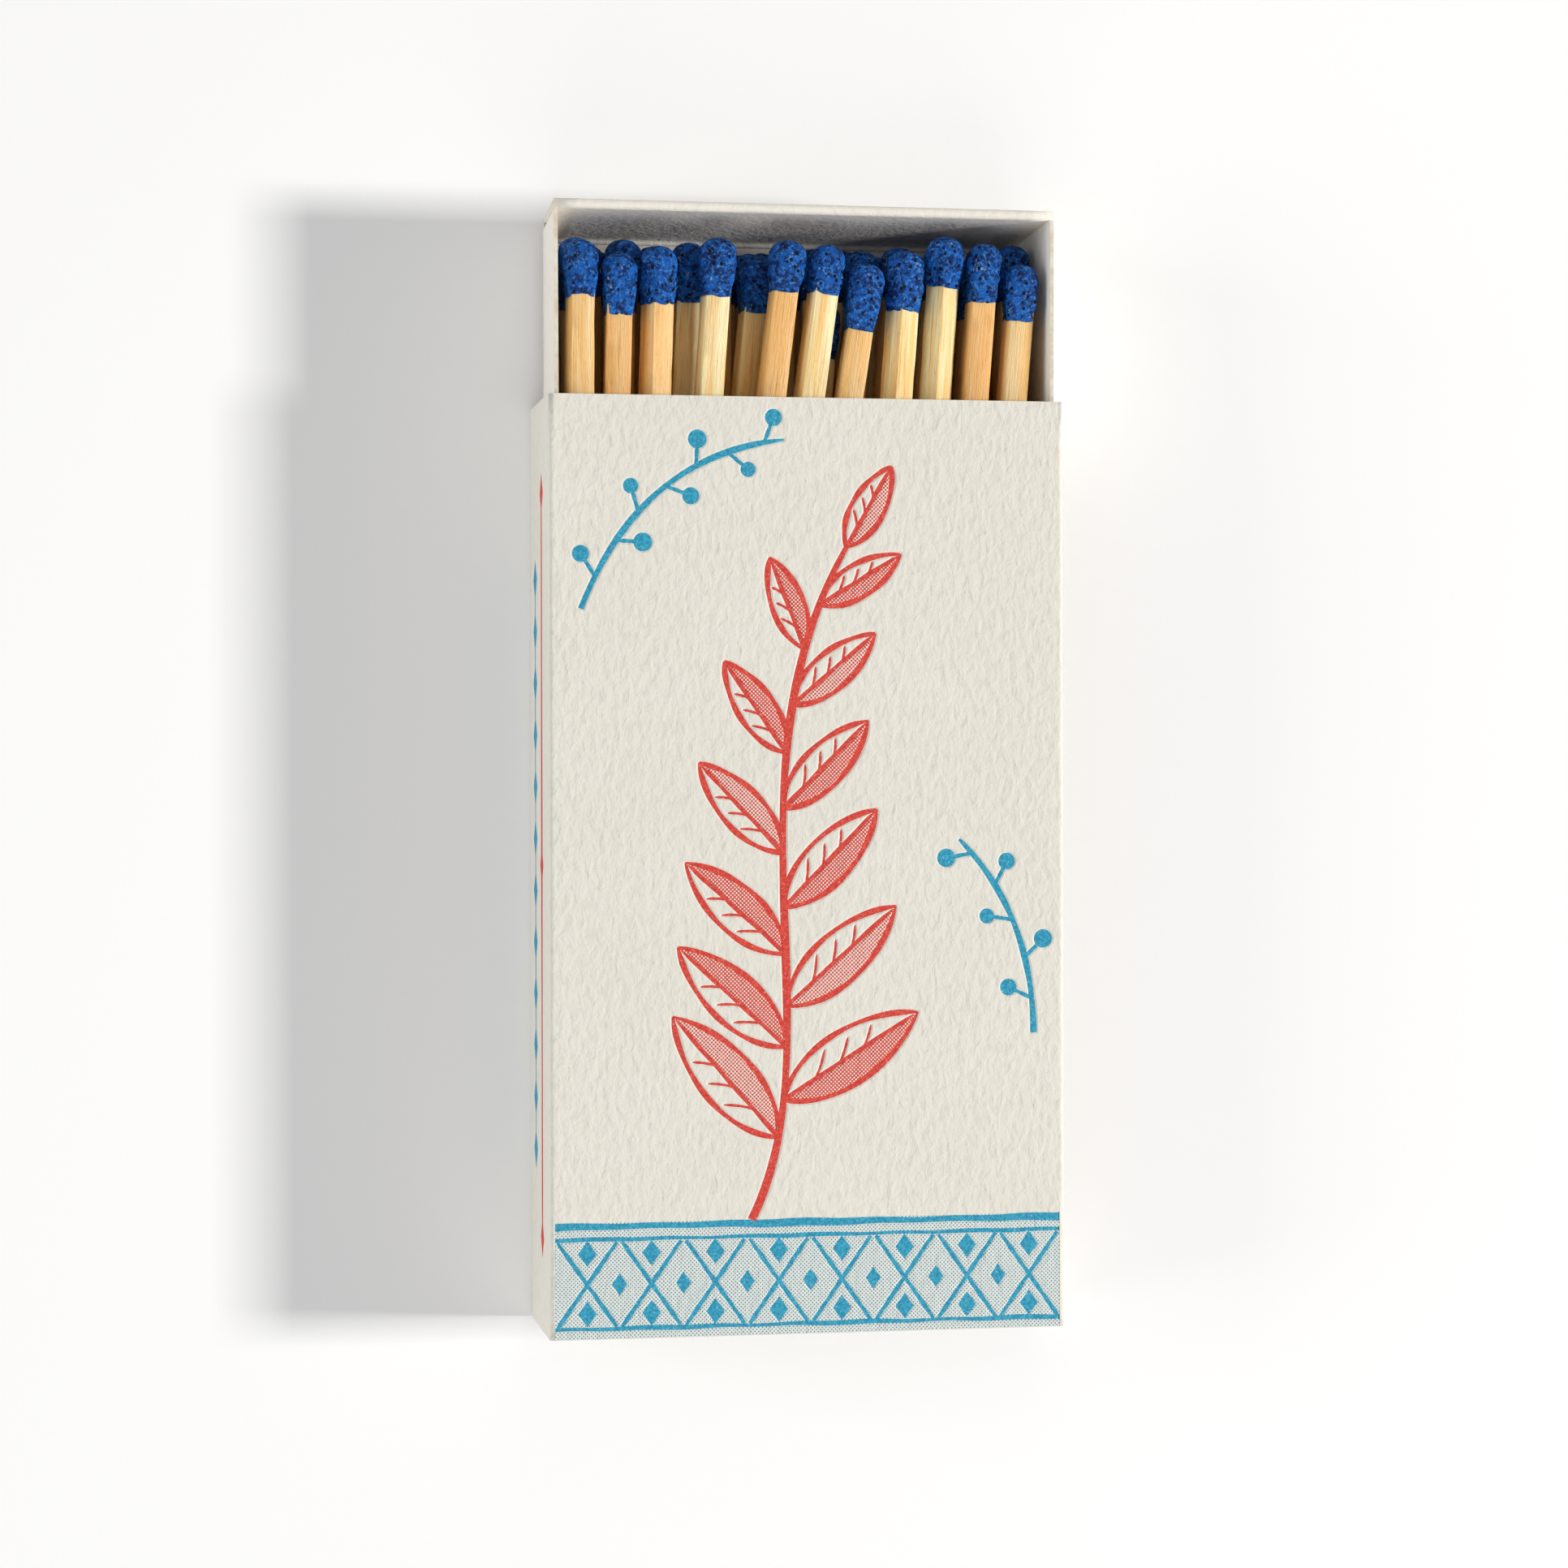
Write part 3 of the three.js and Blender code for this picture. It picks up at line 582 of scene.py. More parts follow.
card = card_material("sleeve_card")
tray_card = card_material("drawer_card", 0.55, srgb(242, 236, 225), srgb(245, 241, 232), srgb(228, 221, 209))
raw_edge = raw_edge_material()
coral_ink = ink_material("coral_ink", CORAL, CORAL_DEEP)
blue_ink = ink_material("blue_ink", BLUE, BLUE_DEEP)
coral_dots = halftone_material("coral_halftone", CORAL, CORAL_DEEP)
blue_dots = halftone_material("blue_halftone", BLUE, BLUE_DEEP)
wood = wood_material()
head_compound = head_material()
striking = striker_material()


# The printed branch, its sprigs and the band

def turned(points, place, angle):
    c, s = math.cos(angle), math.sin(angle)
    p = np.array(points, float)
    return np.stack([place[0] + p[:, 0] * c - p[:, 1] * s, place[1] + p[:, 0] * s + p[:, 1] * c], axis=1)


def diamond(half_width, half_height):
    return [(-half_width, 0), (0, -half_height), (half_width, 0), (0, half_height)]


BAND_HEIGHT = 13.5
BAND_CELLS = 8
STEM = [(-7, -HALF_LENGTH + BAND_HEIGHT), (4, -20), (-12, 12), (6, 40)]
STEM_STEPS = 200
TIP_STEP = 194
LEAF_PAIRS = 6
FIRST_LEAF = 0.14
LEAF_SPACING = 0.138
STEM_LINE = 0.9
LEAF_LINE = 0.62
MIDRIB_LINE = 0.5
VEIN_LINE = 0.3
SPRIG_LINE = 0.7
BERRY_STALK = 2.7


def leaf_edge(length, width, side, count=22):
    belly = side * width * 0.62
    return bezier([(0, 0), (length * 0.22, belly), (length * 0.68, belly), (length, 0)], count)


def leaves():
    """Each leaf's foot, length, width and turn: pairs that shrink up the stem, then one at its tip."""
    stem = bezier(STEM, STEM_STEPS + 1)
    heading = np.gradient(stem, axis=0)
    found = []
    for i in range(LEAF_PAIRS):
        for side in (1, -1):
            t = FIRST_LEAF + (i + (0 if side > 0 else 0.45)) * LEAF_SPACING
            k = int(round(t * STEM_STEPS))
            length = 19 - 1.5 * i
            turn = math.atan2(heading[k][1], heading[k][0]) + side * math.radians(52 - 3 * i)
            found.append((stem[k], length, length * 0.36, turn))
    tip = heading[TIP_STEP]
    found.append((stem[TIP_STEP], 11, 4.2, math.atan2(tip[1], tip[0])))
    return found


def branch_inks():
    """The leafy branch: its drawn lines, and the tint of half of each leaf."""
    lines = Ink("branch_lines", "print_branch_lines", "ink_coral", coral_ink, PRESS_DEPTH)
    tint = Ink("branch_tint", "print_branch_tint", "ink_coral_tint", coral_dots, TINT_PRESS)
    lines.draw(brush(bezier(STEM, 60), STEM_LINE, 1, (1.0, 0.5)))
    for n, (place, length, width, turn) in enumerate(leaves()):
        upper, lower = leaf_edge(length, width, 1), leaf_edge(length, width, -1)
        for k, edge in enumerate((upper, lower)):
            lines.draw(brush(turned(edge, place, turn), LEAF_LINE, 3 * n + k, (0.8, 0.45), 0.2))
        midrib = [(x, 0.02 * math.sin(x)) for x in np.linspace(0, length * 0.97, 14)]
        lines.draw(brush(turned(midrib, place, turn), MIDRIB_LINE, 3 * n + 2, (1.0, 0.3)))
        half = np.concatenate([lower, [(length * 0.5, 0.0)]])
        tint.draw(turned(half, place, turn), 0.62 if n % 3 else 0.5)
        for v in range(3):
            x = length * (0.24 + 0.18 * v)
            reach = width * (0.34 - 0.04 * v)
            vein = bezier([(x, 0.05), (x + reach * 0.55, reach * 0.35), (x + reach * 1.15, reach)], 9)
            lines.draw(brush(turned(vein, place, turn), VEIN_LINE, 90 + n + v, (0.9, 0.3)))
    return lines, tint


def sprig_ink(name, node, path, berries):
    """A curved stalk with berries on short stems, on its two sides in turn."""
    ink = Ink(name, node, "ink_blue", blue_ink, PRESS_DEPTH)
    stalk = bezier(path, 101)
    ink.draw(brush(stalk[::2], SPRIG_LINE, len(path) + berries, (1.0, 0.4)))
    heading = np.gradient(stalk, axis=0)
    for i in range(berries):
        k = int(round((i + 0.8) / (berries + 0.3) * 100))
        along = heading[k] / np.linalg.norm(heading[k])
        side = -1 if i % 2 else 1
        out = np.array([along[0] * 0.6 - along[1] * side, along[1] * 0.6 + along[0] * side])
        end = stalk[k] + out * BERRY_STALK
        ink.draw(brush(np.linspace(stalk[k], end, 8), 0.45, 300 + i, (1, 1)))
        ink.draw(disc(end, 1.0 + 0.12 * math.sin(i * 2.1)))
    return ink


def band_inks():
    """The band at the near end: a tinted field, three rules, crossing bars and diamonds."""
    lattice = Ink("band_lattice", "print_band_lattice", "ink_blue", blue_ink, PRESS_DEPTH)
    field = Ink("band_tint", "print_band_tint", "ink_blue_tint", blue_dots, TINT_PRESS)
    edge = HALF_WIDTH - FOLD
    bottom, top = -HALF_LENGTH, -HALF_LENGTH + BAND_HEIGHT
    field.draw([(-edge, bottom), (edge, bottom), (edge, top), (-edge, top)], 0.27)
    for y, width in ((top - 0.4, 0.8), (top - 1.9, 0.45), (bottom + 1.2, 0.5)):
        rule = [(x, y + 0.05 * math.sin(x * 0.7 + y)) for x in np.linspace(-edge, edge, 60)]
        lattice.draw(brush(rule, width, int(y), (1, 1), 0.18))
    low, high = bottom + 1.4, top - 2.2
    middle = (low + high) / 2
    for i in range(BAND_CELLS):
        x0 = -edge + 2 * edge * i / BAND_CELLS
        x1 = -edge + 2 * edge * (i + 1) / BAND_CELLS
        for start, end, seed in ((low, high, 200), (high, low, 230)):
            bar = np.linspace((x0 + 0.3, start), (x1 - 0.3, end), 14)
            lattice.draw(brush(bar, 0.5, seed + i, (0.8, 0.8)))
        for rise in (3.6, -3.4):
            lattice.draw(turned(diamond(1.1, 1.5), ((x0 + x1) / 2, middle + rise), 0))
        if i:
            lattice.draw(turned(diamond(0.9, 1.3), (x0, middle), 0))
    return lattice, field


def front_inks():
    """The front panel's inks, the topmost first."""
    lines, tint = branch_inks()
    upper = sprig_ink("sprig_upper_ink", "print_sprig_upper", [(-27, 30), (-20, 48), (-3, 50)], 7)
    side = sprig_ink("sprig_side_ink", "print_sprig_side", [(27, -20), (27, -6), (18, 3)], 5)
    lattice, field = band_inks()
    return [lines, upper, side, lattice, tint, field]


def side_inks():
    """The left panel's ornament, in panel places: along the box, and up it."""
    red = Ink("side_rule_ink", "print_side_rule", "ink_coral", coral_ink, SIDE_PRESS)
    height, half = HEIGHT * 0.6, 44.0
    red.draw(brush(np.linspace((-half, height), (half, height), 60), 1.3, 7, (0.6, 0.6), 0.15))
    for y in (-half, 0, half):
        red.draw(turned(diamond(2.4, 1.6), (y, height), 0))
    chain = Ink("side_chain_ink", "print_side_chain", "ink_blue", blue_ink, SIDE_PRESS)
    links, pitch, low = 12, 6.2, HEIGHT * 0.26
    first = -(links - 1) * pitch / 2
    chain.draw(brush(np.linspace((first, low), (-first, low), 50), 0.7, 11, (1, 1)))
    for i in range(links):
        x = first + i * pitch
        chain.draw(turned(diamond(2.4, 1.9), (x, low), 0))
    return [red, chain]


def arc(cx, cz, radius, start, end, count=9):
    """Points of an arc round a centre, from one angle to another in degrees."""
    angles = np.linspace(math.radians(start), math.radians(end), count)
    return [(cx + radius * math.cos(a), cz + radius * math.sin(a)) for a in angles]


def sleeve_ends(builder, outer, hollow):
    """The cut edges of the card at both ends, between the outer outline and the hollow."""
    ring = [Vector(p) for p in outer[:-1]]
    hole = [Vector(p) for p in hollow[:-1]]
    edges = [(i, (i + 1) % len(ring)) for i in range(len(ring))]
    edges += [(len(ring) + i, len(ring) + (i + 1) % len(hole)) for i in range(len(hole))]
    verts, _, faces, _, _, _ = delaunay_2d_cdt(ring + hole, edges, [], 0, 1e-6)
    flat = np.array([tuple(v) for v in verts])
    middle = np.array([flat[list(f)].mean(0) for f in faces])
    solid = inside(middle, np.array([tuple(v) for v in ring]))
    solid &= ~inside(middle, np.array([tuple(v) for v in hole]))
    kept = [tuple(f) for f, keep in zip(faces, solid) if keep]
    for y in (-HALF_LENGTH, HALF_LENGTH):
        builder.add([(p[0], y, p[1]) for p in flat], kept, 1, True)


def sleeve():
    """The sleeve: one strip of card with rounded folds, a printed front and left side, and its glue flap."""
    builder = Builder()
    w, h, b, r = HALF_WIDTH, HEIGHT, BOARD, FOLD
    rows = 23
    ys = np.linspace(-HALF_LENGTH, HALF_LENGTH, rows)

    def front(x, y, depth):
        return (x, y, h - depth)

    def left(x, y, depth):
        return (-w + depth, x, y)

    press_panel(builder, (-w + r, -HALF_LENGTH), (w - r, HALF_LENGTH), front_inks(), front, rows, "sleeve")
    press_panel(builder, (-HALF_LENGTH, r), (HALF_LENGTH, h - r), side_inks(), left, 4, "sleeve")

    def sweep(section, index=0, flat=False):
        points = [(x, y, z) for x, z in section for y in ys]
        builder.add(points, grid_faces(len(section), rows), index, flat)

    seam = w - SEAM_SET_BACK
    seam_angle = -math.degrees(math.acos(max(-1.0, min(1.0, (seam - (w - r)) / r))))
    seam_top = (seam, b + r + r * math.sin(math.radians(seam_angle)))
    upper_right = arc(w - r, h - r, r, 0, 90)
    upper_left = arc(-w + r, h - r, r, 90, 180)
    lower_left = arc(-w + r, r, r, 180, 270)
    lower_right = arc(w - r, b + r, r, seam_angle, 0)
    for fold in (upper_right, upper_left, lower_left, lower_right):
        sweep(fold)
    sweep([(w, b + r), (w, (b + h) / 2), (w, h - r)])
    sweep([(-w + r, 0)] + [(x, 0) for x in np.linspace(-w + 6, w - 6, 8)] + [(seam, 0)])
    sweep([(seam, 0), seam_top], 1, True)

    inner = max(r - b, 0.05)
    flap = w - b - GLUE_FLAP
    hollow = [(flap, b), (flap, 2 * b)]
    hollow += arc(w - b - inner, 2 * b + inner, inner, -90, 0, 4)
    hollow += arc(w - b - inner, h - b - inner, inner, 0, 90, 4)
    hollow += arc(-w + b + inner, h - b - inner, inner, 90, 180, 4)
    hollow += arc(-w + b + inner, b + inner, inner, 180, 270, 4)
    hollow += [(flap, b)]
    sweep(hollow, 0, True)
    outer = [(-w + r, 0), (seam, 0), seam_top] + lower_right[1:] + upper_right + upper_left + lower_left
    sleeve_ends(builder, outer, hollow)

    made = builder.build("sleeve_of_card", [card, raw_edge])
    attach(made, "sleeve")
    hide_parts("sleeve")


# The drawer: folded card, with end walls rolled over at the top

DRAWER_BOARD = 0.45
DRAWER_FOLD = 0.8
WALL_LEAN = 0.6
END_WALL = 1.2
END_RISE = 0.3
TAB_TURN = 1.1
TAB_LENGTH = 11.0
WALL_BOW = 0.12
END_SAG = 0.06
INNER_LEAN = 1.0
DRAWER_HALF_TOP = drawer_high[0]
DRAWER_FLOOR = drawer_low[2]
DRAWER_TOP = drawer_high[2]
WALL_TOP = DRAWER_TOP - END_RISE
DRAWER_MIDDLE = (drawer_low[1] + drawer_high[1]) / 2
DRAWER_HALF_LENGTH = (drawer_high[1] - drawer_low[1]) / 2


def wall_x(z):
    """Half width of the drawer's outer face at a height: the side walls lean out."""
    share = (z - DRAWER_FLOOR) / (WALL_TOP - DRAWER_FLOOR)
    return DRAWER_HALF_TOP - WALL_LEAN * (1 - min(max(share, 0.0), 1.0))


def heading_at(path, k):
    """The unit direction in which a path of pairs runs at its point k."""
    step = np.array(path[min(k + 1, len(path) - 1)], float) - np.array(path[max(k - 1, 0)], float)
    return step / max(np.linalg.norm(step), 1e-9)


def quarter_turn(count):
    return np.linspace(0, math.pi / 2, count)


def drawer_side(builder, side):
    """A side wall that turns round a fold at each end into a tab inside the end wall."""
    end = DRAWER_HALF_LENGTH - DRAWER_BOARD
    corners = []
    for sign in (-1, 1):
        corner = [(sign * end, -TAB_TURN - TAB_LENGTH)]
        for a in quarter_turn(8):
            y = end - TAB_TURN + TAB_TURN * math.cos(a)
            corner.append((sign * y, -TAB_TURN + TAB_TURN * math.sin(a)))
        corners.append(corner)
    middle = [(y, 0.0) for y in np.linspace(-end + TAB_TURN + 2, end - TAB_TURN - 2, 34)]
    path = corners[0] + middle + corners[1][::-1]
    foot = DRAWER_FLOOR + 0.5

    def surface(u, v):
        y, inset = path[u]
        z = foot + (WALL_TOP - foot) * v
        bow = WALL_BOW * math.cos(math.pi * y / (2 * end)) * (0.4 + 0.6 * v) * math.sin(3.1 * v + 0.05 * y)
        x = wall_x(z) + inset - abs(bow)
        along, inwards = heading_at(path, u)
        return (side * x, DRAWER_MIDDLE + y, z), (side * along, -inwards, 0)

    sheet(builder, surface, range(len(path)), np.linspace(0, 1, 9), DRAWER_BOARD)


def drawer_floor(builder):
    end = DRAWER_HALF_LENGTH - DRAWER_BOARD
    half = wall_x(DRAWER_FLOOR)
    r = DRAWER_FOLD
    rise = wall_x(DRAWER_FLOOR + r)
    fold = [(half - r + r * math.sin(a), r - r * math.cos(a)) for a in quarter_turn(6)]
    section = [(-rise, r)] + [(-x, z) for x, z in fold[::-1]]
    section += [(x, 0.0) for x in np.linspace(-half + r, half - r, 10)[1:-1]]
    section += fold + [(rise, r)]

    def surface(u, v):
        x, z = section[u]
        across, up = heading_at(section, u)
        return (x, DRAWER_MIDDLE + v, DRAWER_FLOOR + z), (up, 0, -across)

    sheet(builder, surface, range(len(section)), np.linspace(-end, end, 24), DRAWER_BOARD)


def drawer_end(builder, sign):
    """An end wall: up from the floor, over in a roll, and down inside to a short tongue on the floor."""
    end, r, roll = DRAWER_HALF_LENGTH, DRAWER_FOLD, END_WALL / 2
    face = end - END_WALL
    height = DRAWER_TOP - DRAWER_FLOOR
    path = [(end - r - 0.4, 0.0)]
    path += [(end - r + r * math.sin(a), r - r * math.cos(a)) for a in quarter_turn(7)]
    path += [(end, z) for z in np.linspace(2.5, height - roll - 1, 7)]
    for a in np.linspace(0, math.pi, 13):
        path.append((end - roll + roll * math.cos(a), height - roll + roll * math.sin(a)))
    for k in np.linspace(0, 1, 9):
        path.append((face - INNER_LEAN * k ** 1.3, height - roll - 0.6 - k * (height - roll - 2.2)))
    path += [(face - 1.1, 1.2), (face - 1.3, 1.0), (face - 1.6, 0.95)]

    def surface(u, v):
        y, z = path[u]
        along, up = heading_at(path, u)
        half = wall_x(DRAWER_FLOOR + z) - 0.02
        if z < r:
            half -= r - math.sqrt(max(0.0, r * r - (r - z) ** 2))
        sag = END_SAG * (1 - v * v) * max(0.0, z / height) ** 2
        return (v * half, DRAWER_MIDDLE + sign * y, DRAWER_FLOOR + z - sag), (0, sign * up, -along)

    # The tab of the side wall lies between this wall's two layers, which are thinner than the open card
    sheet(builder, surface, range(len(path)), np.linspace(-1, 1, 21), DRAWER_BOARD * 0.85)


def drawer_card():
    builder = Builder()
    for side in (-1, 1):
        drawer_side(builder, side)
    drawer_floor(builder)
    for sign in (-1, 1):
        drawer_end(builder, sign)
    made = builder.build("drawer_of_card", [tray_card, raw_edge], weld=1e-4)
    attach(made, "drawer")
    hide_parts("drawer")


# The matches

STICK_WIDTH = 3.0
TIP_COVER = 1.8
SHORT_OF_TIP = 0.996
LOWER_ROW = 14
LOWER_HEAD_WIDTH = 4.18
LOWER_HEAD_LENGTH = 6.6


def corner_points(node):
    co = np.array([v.co for v in frame["nodes"][node].data.vertices]) / MM
    return np.unique(np.round(co, 4), axis=0)


class Place:
    """Where one match lies: its tail, its axis, the two directions across it, and its head's sizes."""

    def __init__(self, tail, along, across, up, length, rim, width, seed):
        self.tail, self.along, self.across, self.up = tail, along, across, up
        self.length, self.rim, self.width, self.seed = length, rim, width, seed

    def point(self, x, y, z):
        return self.tail + self.across * x + self.along * y + self.up * z


def directions_across(along):
    """The level direction across a match, and the one up from it."""
    across = np.cross(along, (0, 0, 1))
    across /= np.linalg.norm(across)
    return across, np.cross(across, along)


def place_of(name, seed):
    """Reads a match's place from the corners of its splint and head."""
    stick, head = corner_points(name + "_stick"), corner_points(name + "_head")
    centre = stick.mean(0)
    _, _, directions = np.linalg.svd(stick - centre)
    along = directions[0] * np.sign(directions[0][1])
    t = (stick - centre) @ along
    tail, tip = stick[t < 0].mean(0), stick[t > 0].mean(0)
    along = (tip - tail) / np.linalg.norm(tip - tail)
    across, up = directions_across(along)
    ends = stick[t < 0] - tail
    angles = np.arctan2(ends @ up, ends @ across)
    diagonal = np.angle(np.mean(np.exp(4j * angles))) / 4
    roll = diagonal - math.pi / 4
    c, s = math.cos(roll), math.sin(roll)
    across, up = across * c + up * s, up * c - across * s
    head_along = (head - tail) @ along
    width = 2 * np.abs((head - tail) @ across).max() / 0.98
    return Place(tail, along, across, up, head_along.max(), head_along.min(), width, seed)


def splint(builder, place, tones, grains, rings=60):
    """A splint split from a block: nearly square, its faces not quite flat, its edges a little torn."""
    draw = random.Random(place.seed)
    h = STICK_WIDTH / 2
    wide, high = draw.uniform(0.95, 1.0), draw.uniform(0.94, 1.0)
    shear = draw.uniform(-0.05, 0.05)
    soft = draw.uniform(0.1, 0.2)
    tone = draw.uniform(0, 1)
    offset = np.array([draw.uniform(-40, 40), draw.uniform(-40, 40), draw.uniform(-40, 40)])
    # A rounded corner, then the middle of the face that follows it
    section = []
    for corner in range(4):
        start = corner * math.pi / 2
        cx = (1, -1, -1, 1)[corner] * (h - soft)
        cz = (1, 1, -1, -1)[corner] * (h - soft)
        for k in range(3):
            a = start + k * math.pi / 4
            section.append((cx + soft * math.cos(a), cz + soft * math.sin(a)))
        section.append((h * math.cos(start + math.pi / 2), h * math.sin(start + math.pi / 2)))
    length = place.length - TIP_COVER
    columns = len(section)
    points = []
    for i in range(rings):
        y = length * i / (rings - 1)
        for k, (x, z) in enumerate(section):
            rough = noise.noise(Vector((x * 0.9 + place.seed * 3.1, y * 0.22, z * 0.9)))
            chip = noise.noise(Vector((k * 5.3, y * 0.8, place.seed * 7.7)))
            inward = 1 - 0.05 * max(0.0, rough) - (0.1 * max(0.0, chip - 0.15) if k % 4 == 1 else 0)
            points.append(place.point((x * wide + shear * z) * inward, y, z * high * inward))
            tones.append(tone)
            grains.append(tuple(offset + (x, y, z)))
    builder.add(points, closed_tube(rings, columns))


def bulb(builder, place, grains, rows=30, columns=40):
    """A dipped head: a ragged skirt over the wood, swelling to a lumpy bulb with a round tip."""
    draw = random.Random(place.seed + 500)
    half = place.width / 2
    length = place.length - place.rim
    lean = draw.uniform(-0.12, 0.12)
    shift = Vector((draw.uniform(-60, 60), draw.uniform(-60, 60), draw.uniform(-60, 60)))
    rag_phase = draw.uniform(0, 50)
    h = STICK_WIDTH / 2
    points = []

    def superellipse(angle, size, power):
        c, s = math.cos(angle), math.sin(angle)
        reach = size / (abs(c) ** power + abs(s) ** power) ** (1 / power)
        return reach * c, reach * s

    dome = half * 0.96
    for i in range(rows):
        t = i / (rows - 1)
        for k in range(columns):
            angle = (k + 0.5) / columns * 2 * math.pi
            rag = 0.45 * noise.noise(Vector((math.cos(angle) * 1.6 + rag_phase, math.sin(angle) * 1.6, 0)))
            rag += 0.28 * noise.noise(Vector((angle * 5 + rag_phase, 3.3, 0)))
            rag = max(0.0, rag + 0.12)
            y = rag * (1 - t) + t * length
            body = length - dome
            if y < body:
                share = max(0.0, y / body)
                swell = share * share * (3 - 2 * share)
                coat = 0.06 + 0.08 * min(1.0, (y - rag) / 1.2)
                size = (h + coat) * (1 - swell) + half * swell
                power = 10 - 7.8 * min(1.0, share * 1.4)
            else:
                q = min(1.0, (y - body) / dome)
                size = half * math.sqrt(max(0.0, 1 - q ** 2.15))
                power = 2.2
            x, z = superellipse(angle, size, power)
            p = Vector((x, y, z))
            lump = noise.noise(p * 0.75 + shift) * 0.22 + noise.noise(p * 2.3 + shift) * 0.08
            pit = noise.noise(p * 1.7 + shift * 2)
            hollow = -0.16 * max(0.0, pit - 0.42) / 0.3
            grow = 1 + min(0.0, lump + hollow - 0.06) / max(half, 0.5) * min(1.0, (y - rag) / 1.2 + 0.1)
            bend = lean * (y / length) ** 2
            points.append(place.point(x * grow + bend * 0.5, place.rim + y * SHORT_OF_TIP, z * grow))
            grains.append(tuple(p + shift))
    builder.add(points, closed_tube(rows, columns))


def set_points(made, name, kind, values):
    attribute = made.data.attributes.new(name, kind, "POINT")
    key = "vector" if kind == "FLOAT_VECTOR" else "value"
    attribute.data.foreach_set(key, np.array(values, np.float32).ravel())


def finish_piece(builder, name, material, nodes, grains, tones=None):
    made = make_object(name, builder.points, builder.faces, [material])
    set_points(made, "grain", "FLOAT_VECTOR", grains)
    if tones is not None:
        set_points(made, "tone", "FLOAT", tones)
    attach(made, "drawer")
    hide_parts(*nodes)
    return made


def sharpen(made, degrees=40):
    """Splint edges stay crisp while the rest is smooth."""
    made.data.set_sharp_from_angle(angle=math.radians(degrees))


def loose_match(name, seed):
    place = place_of(name, seed)
    builder, tones, grains = Builder(), [], []
    splint(builder, place, tones, grains)
    made = finish_piece(builder, name + "_splint", wood, [name + "_stick"], grains, tones)
    sharpen(made)
    builder, grains = Builder(), []
    bulb(builder, place, grains)
    finish_piece(builder, name + "_bulb", head_compound, [name + "_head"], grains)


def lower_matches():
    """The matches of the two lowest rows, each modelled by itself inside the fused solids' box."""
    sticks_low, sticks_high = box_mm("lower_match_sticks")
    heads_low, heads_high = box_mm("lower_match_heads")
    width = LOWER_HEAD_WIDTH
    pitch = (heads_high[0] - heads_low[0] - width) / (LOWER_ROW - 0.5)
    length = heads_high[1] - sticks_low[1]
    rows = ((sticks_low[2] + STICK_WIDTH / 2, heads_low[2] + width / 2),
            (sticks_high[2] - STICK_WIDTH / 2, heads_high[2] - width / 2))
    wood_builder, tones, grains = Builder(), [], []
    head_builder, head_grains = Builder(), []
    for row, (stick_z, head_z) in enumerate(rows):
        for i in range(LOWER_ROW):
            x = heads_low[0] + width / 2 + (i + row / 2) * pitch
            tail = np.array([x, sticks_low[1], stick_z])
            tip = np.array([x, heads_high[1], head_z])
            along = (tip - tail) / np.linalg.norm(tip - tail)
            across, up = directions_across(along)
            seed = 1000 + row * 40 + i
            own = length - 0.1 - 0.9 * random.Random(seed).random()
            place = Place(tail, along, across, up, own, own - LOWER_HEAD_LENGTH, width * 0.99, seed)
            splint(wood_builder, place, tones, grains, 30)
            bulb(head_builder, place, head_grains, 20, 26)
    nodes = ["lower_match_sticks"]
    made = finish_piece(wood_builder, "lower_splints", wood, nodes, grains, tones)
    sharpen(made)
    finish_piece(head_builder, "lower_bulbs", head_compound, ["lower_match_heads"], head_grains)


def striker():
    """The striking strip: a coat of compound on the right-hand side, its outline a little soft."""
    low, high = box_mm("striker_strip")
    builder = Builder()
    ys, zs = np.linspace(low[1], high[1], 60), np.linspace(low[2], high[2], 10)
    points = []
    for z in zs:
        for y in ys:
            edge = min((z - low[2]), (high[2] - z), (y - low[1]), (high[1] - y))
            points.append((low[0] + 0.02 + (high[0] - low[0] - 0.02) * min(1.0, edge / 0.4 + 0.25), y, z))
    columns = len(ys)
    back = [(low[0] + 0.005, y, z) for z in (low[2], high[2]) for y in (low[1], high[1])]
    builder.add(points, [f[::-1] for f in grid_faces(len(zs), columns)])
    start = builder.add(back, [(0, 1, 3, 2)])
    last = (len(zs) - 1) * columns
    bottom = tuple(range(columns)) + (start + 1, start)
    top = tuple(last + k for k in range(columns))[::-1] + (start + 2, start + 3)
    near = tuple(k * columns for k in range(len(zs)))[::-1] + (start, start + 2)
    far = tuple(k * columns + columns - 1 for k in range(len(zs))) + (start + 3, start + 1)
    builder.faces += [bottom, top, near, far]
    made = make_object("striking_strip", builder.points, builder.faces, [striking], smooth=False)
    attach(made, "sleeve")
    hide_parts("striker_strip")


# The floor, the light and the camera

def floor():
    """A wide pale table top that fades into the white background."""
    shader = Shader("floor_white", Roughness=0.9, Specular_IOR_Level=0.1)
    seen = shader.node("ShaderNodeLightPath").outputs["Is Camera Ray"]
    shader.colour(shader.blend(seen, (0.86, 0.86, 0.855, 1), (1.0, 1.0, 1.0, 1)))
    half = 4000
    rings = np.linspace(-half, half, 9)
    points = [(x, y, 0.0) for x in rings for y in rings]
    made = make_object("floor", points, grid_faces(9, 9), [shader.material])


